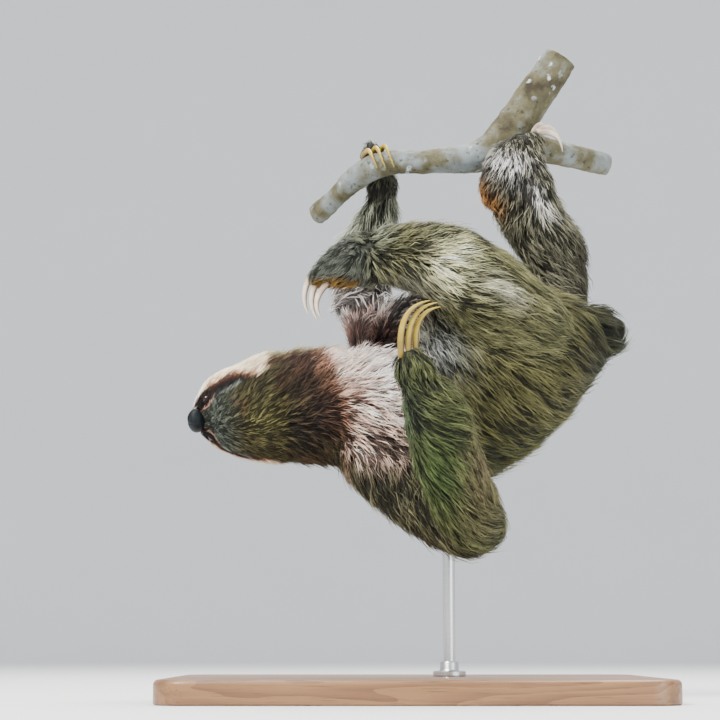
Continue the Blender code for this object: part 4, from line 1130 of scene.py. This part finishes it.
join(damp.outputs["Roughness"], shader.inputs["Roughness"])
shader.inputs["Specular IOR Level"].default_value = 0.14
nose_pad.data.materials.append(nose_leather)
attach(nose_pad, "root")
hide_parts("nose")

mouth_line = np.array([(f, -l, c) for f, l, c in MOUTH[:0:-1]] + MOUTH)
mouth_line = spline(mouth_line, 12)
landed = np.array([skin_tree.find_nearest(p)[0][:] for p in from_head(mouth_line).tolist()])
landed_up = np.array([skin_tree.find_nearest(p)[1][:] for p in landed.tolist()])
landed = smoothed(landed, np.stack([np.arange(len(landed) - 1), np.arange(1, len(landed))], 1), 3)


LIP_SIDES = 12


def lip(offset, radius):
    """A low roll beside the mouth's line: circles carried along it, flattened to two thirds,
    thinning to nothing at the corners of the mouth."""
    ahead = unit(np.gradient(landed, axis=0))
    across = unit(np.cross(ahead, landed_up))
    run = np.linspace(-1, 1, len(landed))
    size = radius * np.sqrt(np.clip(1 - run ** 6, 0.002, 1))
    turn = np.linspace(0, 2 * math.pi, LIP_SIDES, endpoint=False)
    centre = landed + across * offset * (1 - run ** 4)[:, None] - landed_up * radius * 0.2
    rings = (centre[:, None] + size[:, None, None]
             * (np.cos(turn)[None, :, None] * across[:, None]
                + 0.7 * np.sin(turn)[None, :, None] * landed_up[:, None]))
    return rings.reshape(-1, 3), capped_faces(len(landed), LIP_SIDES)


for lip_name, offset in (("lip_upper", 0.00060), ("lip_lower", -0.00060)):
    roll = add_mesh(lip_name, *lip(offset, 0.00075))
    roll.data.materials.append(lid_skin)
    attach(roll, "root")

# ------------------------------------------------------------------------------------- claws
# Each finger and toe ends in one long curved claw of horn: a tapered hook, a little flattened
# and keeled underneath, its root set in the flesh. The hands' are yellow, the feet's ivory.
CLAW_RADIUS, CLAW_TIP, CLAW_FLAT = 0.0031, 0.00035, 0.80
CLAW_ROWS, CLAW_SIDES = 36, 20
CLAW_ROOT = 0.006                                  # how far a claw runs on into the flesh
HOOK_START, HOOK_TURN = -22, 128                   # degrees round the branch from its top
HOOK_REACH, HOOK_ADVANCE = 0.0170, 0.0140          # from the branch's line, and along it


def bow(base, tip, bulge):
    """A claw's line: a quadratic arc from base to tip that bulges out in the middle."""
    base, tip, bulge = map(np.array, (base, tip, bulge))
    t = np.linspace(0, 1, CLAW_ROWS)[:, None]
    return base * (1 - t) ** 2 + ((base + tip) / 2 + 2 * bulge) * 2 * t * (1 - t) + tip * t * t


def hook(centre, along):
    """A claw's line wound round the branch at a steady reach from the branch's own line."""
    front = unit(np.cross(along, (0, 0, 1)))
    top = np.cross(front, along)
    t = np.linspace(0, 1, CLAW_ROWS)[:, None]
    angle = np.radians(HOOK_START + HOOK_TURN * t)
    wound = (centre + HOOK_REACH * (top * np.cos(angle) + front * np.sin(angle))
             + along * HOOK_ADVANCE * t)
    line = spline(BRANCH[:, :3], 60)
    inside = line[np.linalg.norm(wound[:, None] - line[None], axis=2).argmin(1)]
    return inside + unit(wound - inside) * HOOK_REACH


def claw_surface(path):
    """Rings carried along the line. The radius falls as 1 - t^2.2 from root to tip; a ring is
    flattened sideways, and drawn out to a low keel on the claw's inner side."""
    ahead = unit(np.gradient(path, axis=0))
    path = np.concatenate([path[:1] - ahead[:1] * CLAW_ROOT, path])
    ahead = np.concatenate([ahead[:1], ahead])
    plane = unit(np.cross(path[-1] - path[1], path[len(path) // 2] - path[1]))
    tall = np.cross(ahead, plane)
    t = np.linspace(0, 1, len(path))[:, None]
    turn = np.linspace(0, 2 * math.pi, CLAW_SIDES, endpoint=False)[None]
    radius = CLAW_TIP + (CLAW_RADIUS - CLAW_TIP) * (1 - t ** 2.2)
    inner = np.exp(-((np.abs((turn + math.pi) % (2 * math.pi) - math.pi)) / 0.5) ** 2)
    reach = radius * (1 - 0.05 * inner + 0.012 * np.sin(t * 90))
    points = (path[:, None] + tall[:, None] * (reach * np.cos(turn))[..., None]
              + plane * CLAW_FLAT * (reach * np.sin(turn))[..., None])
    under = np.broadcast_to(0.5 + 0.5 * np.cos(turn), reach.shape)
    return (points.reshape(-1, 3), capped_faces(len(path), CLAW_SIDES), under,
            np.repeat(t, CLAW_SIDES))


# where each claw's line begins and ends, and for the gripping foot the way it bulges
FREE_HAND = [((-0.013, -0.129, 0.313), (0.013, -0.136, 0.358)),
             ((-0.006, -0.126, 0.312), (0.020, -0.132, 0.357)),
             ((0.001, -0.122, 0.311), (0.023, -0.127, 0.354))]
FREE_FOOT = [((-0.096, -0.037, 0.402), (-0.099, -0.031, 0.364)),
             ((-0.091, -0.044, 0.393), (-0.090, -0.037, 0.357)),
             ((-0.084, -0.051, 0.387), (-0.087, -0.046, 0.359))]
GRIP_FOOT = [((0.130, -0.006, 0.551), (0.151, 0.010, 0.536), (0.003, -0.003, 0.005)),
             ((0.128, 0.001, 0.555), (0.150, 0.020, 0.551), (0.001, -0.002, 0.006)),
             ((0.124, 0.008, 0.558), (0.143, 0.034, 0.559), (-0.001, -0.001, 0.007))]
along_branch = unit(BRANCH[2, :3] - BRANCH[1, :3])
claw_lines = {}
for i in range(3):
    claw_lines[f"hand_right_{i + 1}"] = bow(*FREE_HAND[i], (-0.0080, -0.002, 0.0090))
    claw_lines[f"foot_right_{i + 1}"] = bow(*FREE_FOOT[i], (-0.0055, 0.001, 0))
    claw_lines[f"foot_left_{i + 1}"] = bow(*GRIP_FOOT[i])
    claw_lines[f"hand_left_{i + 1}"] = hook(
        BRANCH[1, :3] + along_branch * (0.0010 + 0.0080 * (i - 1)), along_branch)


def horn(name, pale, deep, shade):
    """Horn with fine growth lines along its length, darker towards the root and underneath, in part the
    horn's own colour and in part painted shade.
    """
    made, shader, add, join = new_material(name)
    spot = add("ShaderNodeTexCoord").outputs["Object"]
    under = add("ShaderNodeAttribute", attribute_name="under")
    run = add("ShaderNodeAttribute", attribute_name="run")
    lines = add("ShaderNodeTexNoise", {"Vector": spot, "Scale": 1100.0, "Detail": 2.0})
    body = add("ShaderNodeGroup", {"Place": spot, "Scale": 160.0, "Detail": 3.0,
                                   "Deep": (*tint(*deep), 1), "Pale": (*tint(*pale), 1),
                                   "Smooth": 0.30, "Dull": 0.48}, node_tree=cloudy_finish)
    below = add("ShaderNodeMapRange", {"Value": under.outputs["Fac"], "From Min": 0.62,
                                       "From Max": 0.95, "To Max": 0.85})
    shaded = add("ShaderNodeMix", {"Factor": below.outputs[0], "A": body.outputs["Colour"],
                                   "B": (*tint(*shade), 1)}, data_type="RGBA")
    rooted = add("ShaderNodeMapRange", {"Value": run.outputs["Fac"], "From Min": 0.30,
                                        "From Max": 0.12, "To Max": 0.5})
    final = add("ShaderNodeMix", {"Factor": rooted.outputs[0], "A": shaded.outputs["Result"],
                                  "B": (*tint(*shade), 1)}, data_type="RGBA")
    join(final.outputs["Result"], shader.inputs["Base Color"])
    bump = add("ShaderNodeBump", {"Height": lines.outputs["Fac"], "Strength": 0.25,
                                  "Distance": 0.0002})
    join(bump.outputs["Normal"], shader.inputs["Normal"])
    join(body.outputs["Roughness"], shader.inputs["Roughness"])
    return made


HORNS = {"hand": horn("yellow_horn", (192, 168, 54), (132, 104, 20), (60, 38, 12)),
         "foot": horn("ivory_horn", (238, 226, 208), (190, 168, 144), (96, 62, 42))}
for limb, path in claw_lines.items():
    kind = limb.split("_")[0]
    claw_points, claw_faces, under_side, run_along = claw_surface(path)
    claw = add_mesh(f"horn_{limb}", claw_points, claw_faces)
    mark_points(claw, "under", under_side)
    mark_points(claw, "run", run_along)
    claw.data.materials.append(HORNS[kind])
    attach(claw, "root")
    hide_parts(f"claw_{limb}")

# ------------------------------------------------------------------------------------- coat
# The coat is laid lock by lock over the skin. Each lock follows the lie of the hair along the
# skin, and its strands are thin closed blades that start apart and gather to its point.
hair_length *= 1 - 0.42 * head * step(forward, 0.010, 0.040)
hair_length *= 1 - 0.50 * np.clip(under_rim + dome, 0, 1)
hair_width = 0.00046 + 0.0135 * hair_length
bare = np.maximum(patch(mirrored, EYE_PLACE + (0.003, 0.002, 0), (0.0052, 0.0052, 0.0042)) * 1.7,
                  patch(mirrored, NOSE_PLACE, (0.0062, 0.0102, 0.0078)) * 1.4)
bare = np.maximum(bare, line_mask(mirrored, MOUTH, 0.0016) * 1.2)
whorl = patch(skin_points, WHORL, (0.014, 0.03, 0.022))
hair_length *= 1 - 0.35 * whorl
presence = np.clip(1 - bare, 0, 1) * (1 + 2.2 * whorl)

tri_corner = (np.arange(len(skin_quads))[:, None] * 4 + [0, 1, 2, 0, 2, 3]).reshape(-1, 3)
tri_a, tri_b, tri_c = (skin_points[skin_triangles[:, k]] for k in range(3))
tri_area = 0.5 * np.linalg.norm(np.cross(tri_b - tri_a, tri_c - tri_a), axis=1)
chance = np.random.default_rng(20)
LOCK_STEPS = 3
LIKE_THE_LOCK = 0.70          # of the strands, as pale or as dark as the lock they are in
WILD = 0.05                   # of the strands, those that stand up out of the coat
ROOT_SUNK = 0.0008            # how far below the skin a strand begins
BAKE_SPOT = 0.0015            # half width of a strand's place on the shared bake map

hair, shader, add, join = new_material("coarse_hair")
hair_paint = add("ShaderNodeAttribute", attribute_name="coat_colour")
spot = add("ShaderNodeTexCoord").outputs["Object"]
dusty = add("ShaderNodeGroup", {"Colour": hair_paint.outputs["Color"], "Place": spot,
                                "Scale": 90.0, "Detail": 3.0, "Weakest": 0.82,
                                "Strongest": 1.18}, node_tree=grime)
join(dusty.outputs["Colour"], shader.inputs["Base Color"])
dryness = add("ShaderNodeMapRange", {"Value": dusty.outputs["Amount"], "To Min": 0.50,
                                     "To Max": 0.70})
join(dryness.outputs[0], shader.inputs["Roughness"])
shader.inputs["Specular IOR Level"].default_value = 0.35


def blade_faces(rings):
    """The triangles of one strand: a point at the root, rings of three, a point at the tip."""
    last, end = 1 + (rings - 1) * 3, 1 + rings * 3
    faces = [(0, 1 + (k + 1) % 3, 1 + k) for k in range(3)]
    for level in range(rings - 1):
        for k in range(3):
            a, b = 1 + level * 3 + k, 1 + level * 3 + (k + 1) % 3
            faces += [(a, b, b + 3), (a, b + 3, a + 3)]
    return np.array(faces + [(last + k, last + (k + 1) % 3, end) for k in range(3)])


def add_strands(name, points, faces, uv, colour):
    """A mesh of strands built alike: for each strand its points, their places on the bake map
    and their colours, and the faces of one strand."""
    strands, each = points.shape[:2]
    every = (faces[None] + each * np.arange(strands)[:, None, None]).reshape(-1, 3)
    mesh = bpy.data.meshes.new(name)
    mesh.vertices.add(strands * each)
    mesh.vertices.foreach_set("co", points.ravel())
    mesh.loops.add(every.size)
    mesh.loops.foreach_set("vertex_index", every.ravel().astype(np.int32))
    mesh.polygons.add(len(every))
    mesh.polygons.foreach_set("loop_start", np.arange(0, every.size, 3, dtype=np.int32))
    mesh.polygons.foreach_set("use_smooth", np.ones(len(every), bool))
    mesh.update(calc_edges=True)
    layer = mesh.uv_layers.new(name="OFBake")
    layer.data.foreach_set("uv", uv.reshape(-1, 2)[every.ravel()].ravel())
    paint_layer = mesh.color_attributes.new("coat_colour", "FLOAT_COLOR", "POINT")
    paint_layer.data.foreach_set("color", np.concatenate(
        [colour, np.ones((strands, each, 1))], 2).ravel())
    mesh.materials.append(hair)
    made = bpy.data.objects.new(name, mesh)
    bpy.context.scene.collection.objects.link(made)
    return made


def grow_coat(name, where, strands, per_lock, gather, curl, slot_name, fine=False):
    """One piece of coat on the triangles where `where` is true. Roots are spread evenly by
    area; every lock's middle line is walked over the skin along the lie in three steps; each
    strand copies its lock's line from its own root, rises over the three steps to 0.50, 0.82
    and 1 of depth * lift, and is drawn by 0.25, 0.60 and 0.90 of `gather` to its lock's root.
    Its blade is a closed spindle: a point in the skin, rings of three points (two rings, or
    one where the hair is fine), and a point at the tip."""
    picked = np.flatnonzero(where)
    weight = tri_area[picked] * presence[skin_triangles[picked]].mean(1)
    marks = (np.arange(strands) + chance.random(strands)) / strands * weight.sum()
    face = picked[np.searchsorted(np.cumsum(weight), marks).clip(0, len(picked) - 1)]
    u, v = chance.random((2, strands))
    flip = u + v > 1
    u, v = np.where(flip, 1 - u, u), np.where(flip, 1 - v, v)
    share = np.stack([1 - u - v, u, v], 1)

    def at_roots(values):
        return (values[skin_triangles[face]] * share[..., None]).sum(1)

    roots = at_roots(skin_points)
    normals = unit(at_roots(skin_normals))
    ways = unit(at_roots(lie))
    lengths = at_roots(hair_length[:, None])[:, 0]
    depths = at_roots(skin_depth[:, None])[:, 0]
    widths = at_roots(hair_width[:, None])[:, 0]
    root_rgb, tip_rgb = at_roots(root_tint), at_roots(tip_tint)
    root_uv = (hide_uv[tri_corner[face]] * share[..., None]).sum(1)

    locks = max(strands // per_lock, 1)
    leaders = chance.permutation(strands)[:locks]
    finder = KDTree(locks)
    for number, spot in enumerate(roots[leaders].tolist()):
        finder.insert(spot, number)
    finder.balance()
    lock = np.array([finder.find(spot)[1] for spot in roots.tolist()])

    # the middle lines of the locks, step by step over the skin
    spots, ups, heads = [roots[leaders]], [normals[leaders]], ways[leaders]
    heads = unit(heads + 0.17 * chance.normal(size=heads.shape))
    stride = (lengths[leaders] * (0.8 + 0.35 * chance.random(locks)) / LOCK_STEPS)[:, None]
    for _ in range(LOCK_STEPS):
        ahead = spots[-1] + heads * stride
        found = [skin_tree.find_nearest(p) for p in ahead.tolist()]
        landed = np.array([f[0][:] for f in found])
        up = np.array([f[1][:] for f in found])
        corners_there = skin_quads[[f[2] for f in found]]
        away = ((ahead - landed) * up).sum(1, keepdims=True)
        stiff = 0.40 * np.maximum(away, 0)
        way = unit(0.45 * heads + 0.55 * lie[corners_there].mean(1))
        heads = unit(way - up * (way * up).sum(1, keepdims=True))
        spots.append(landed + up * stiff)
        ups.append(up)
    middle, ups = np.stack(spots, 1), np.stack(ups, 1)

    # each strand along its lock
    alike = chance.random(strands) < LIKE_THE_LOCK
    draw = np.where(alike, chance.random(locks)[lock], chance.random(strands))
    pale = draw < at_roots(pale_share[:, None])[:, 0]
    # pale strands lie on top of the coat and are bright, dark ones lie deeper and are painted dull as the
    # shade inside the coat
    lift = np.where(pale, 0.55, 0.28) + 0.50 * chance.random(strands) ** 0.7
    tone = (np.exp(0.20 * chance.normal(size=strands) + 0.24 * chance.normal(size=locks)[lock])
            * np.where(pale, 1.28, 0.66))
    wild = chance.random(strands) < WILD
    lift = np.where(wild, lift * 1.35, lift)
    long_share = 0.75 + 0.45 * chance.random(strands)
    rise = np.array([0.0, 0.50, 0.82, 1.0])
    pull = np.array([0.0, 0.25, 0.60, 0.90]) * gather
    side_way = np.cross(ways, normals)
    wave = chance.normal(size=(strands, LOCK_STEPS + 1, 1)) * lengths[:, None, None] * 0.042
    wave[:, 0] = 0
    bend = chance.normal(size=(strands, 1, 1)) * lengths[:, None, None] * curl
    wave = wave + bend * (np.arange(LOCK_STEPS + 1) / LOCK_STEPS)[None, :, None] ** 2
    path = (roots[:, None] + (middle[lock] - middle[lock][:, :1]) * long_share[:, None, None]
            + pull[None, :, None] * (roots[leaders][lock] - roots)[:, None]
            + wave * side_way[:, None])
    outward = unit(ups[lock] + 0.5 * (normals[:, None] - ups[lock][:, :1]))
    path = path + outward * (depths * lift)[:, None, None] * rise[None, :, None]
    path[:, 0] = roots - normals * ROOT_SUNK
    if fine:                                         # short hair does with one ring
        path = path[:, [0, 1, 3]]
        outward = outward[:, [0, 1, 3]]
    rings = path.shape[1] - 2
    run = unit(path[:, 2:] - path[:, :-2])
    sideways = unit(np.cross(run, outward[:, 1:-1]))
    upward = np.cross(sideways, run)
    # the blade's section is a triangle, wider across the lie than it is thick
    turn = np.radians([90, 210, 330])
    taper = np.array([1.0, 0.80])[:rings]
    half = (widths * (0.75 + 0.5 * chance.random(strands)) / 2)[:, None] * taper[None]
    section = (np.cos(turn)[None, None, :, None] * sideways[:, :, None] * 1.15
               + np.sin(turn)[None, None, :, None] * upward[:, :, None] * 0.75)
    ring = path[:, 1:-1, None] + section * half[:, :, None, None]
    points = np.concatenate([path[:, :1], ring.reshape(strands, -1, 3), path[:, -1:]], 1)
    faces = blade_faces(rings)
    a, b, c = (points[0, faces[:, k]] for k in range(3))
    if (np.cross(b, c) * a).sum() < 0:               # a volume below zero: the faces look inwards
        faces = faces[:, ::-1]

    along = np.concatenate([[0.0], np.repeat((np.arange(rings) + 1) / (rings + 1), 3), [1.0]])
    # a pale strand has its tip's colour almost from the root, a dark one hardly reaches it, so the darker
    # root end stands in part for painted shade deep in the coat
    reach = np.where(pale[:, None], 0.25 + 0.75 * along[None] ** 0.7, 0.36 * along[None] ** 1.3)
    colour = root_rgb[:, None] + (tip_rgb - root_rgb)[:, None] * reach[..., None]
    colour = np.clip(colour * tone[:, None, None], 0, 0.98)
    across = np.concatenate([[0.0], np.tile([0.0, -1.0, 1.0], rings), [0.0]])
    uv = root_uv[:, None] + BAKE_SPOT * np.stack([across, 2 * along - 1], 1)[None]
    made = add_strands(name, points, faces, uv, colour)
    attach(made, "root")


zone = np.argmax(belongs, 1)[skin_triangles[:, 0]]
tri_y = (tri_a[:, 1] + tri_b[:, 1] + tri_c[:, 1]) / 3


def zone_is(*nodes):
    """True on the triangles that belong to the named parts."""
    return np.isin(zone, [FLESH.index(node) for node in nodes])


trunk_zone = zone_is("trunk", "tail")
COATS = [  # piece, where, strands, per lock, gather, curl, slot, short hair
    ("coat_head", zone_is("head"), 32000, 4, 0.45, 0.15, "coat_face", True),
    ("coat_neck", zone_is("neck"), 13000, 5, 0.50, 0.15, "coat_throat", False),
    ("coat_flank_right", trunk_zone & (tri_y < 0.0), 15500, 9, 0.55, 0.08, "coat_olive", False),
    ("coat_flank_left", trunk_zone & (tri_y >= 0.0), 14500, 9, 0.55, 0.08, "coat_olive", False),
    ("coat_upper_arm_right", zone_is("upper_arm_right"), 7000, 8, 0.45, 0.13, "coat_olive",
     False),
    ("coat_forearm_right", zone_is("forearm_right", "hand_right"), 12000, 7, 0.40, 0.09,
     "coat_green", False),
    ("coat_arm_left", zone_is("upper_arm_left", "forearm_left", "hand_left"), 11000, 6, 0.35,
     0.18, "coat_olive", False),
    ("coat_thigh_right", zone_is("thigh_right"), 9500, 8, 0.55, 0.09, "coat_olive", False),
    ("coat_shank_right", zone_is("shank_right", "foot_right"), 11500, 6, 0.50, 0.11,
     "coat_olive", False),
    ("coat_leg_left", zone_is("thigh_left", "shank_left", "foot_left"), 13500, 6, 0.45, 0.13,
     "coat_olive", False),
]
for coat in COATS:
    grow_coat(*coat)
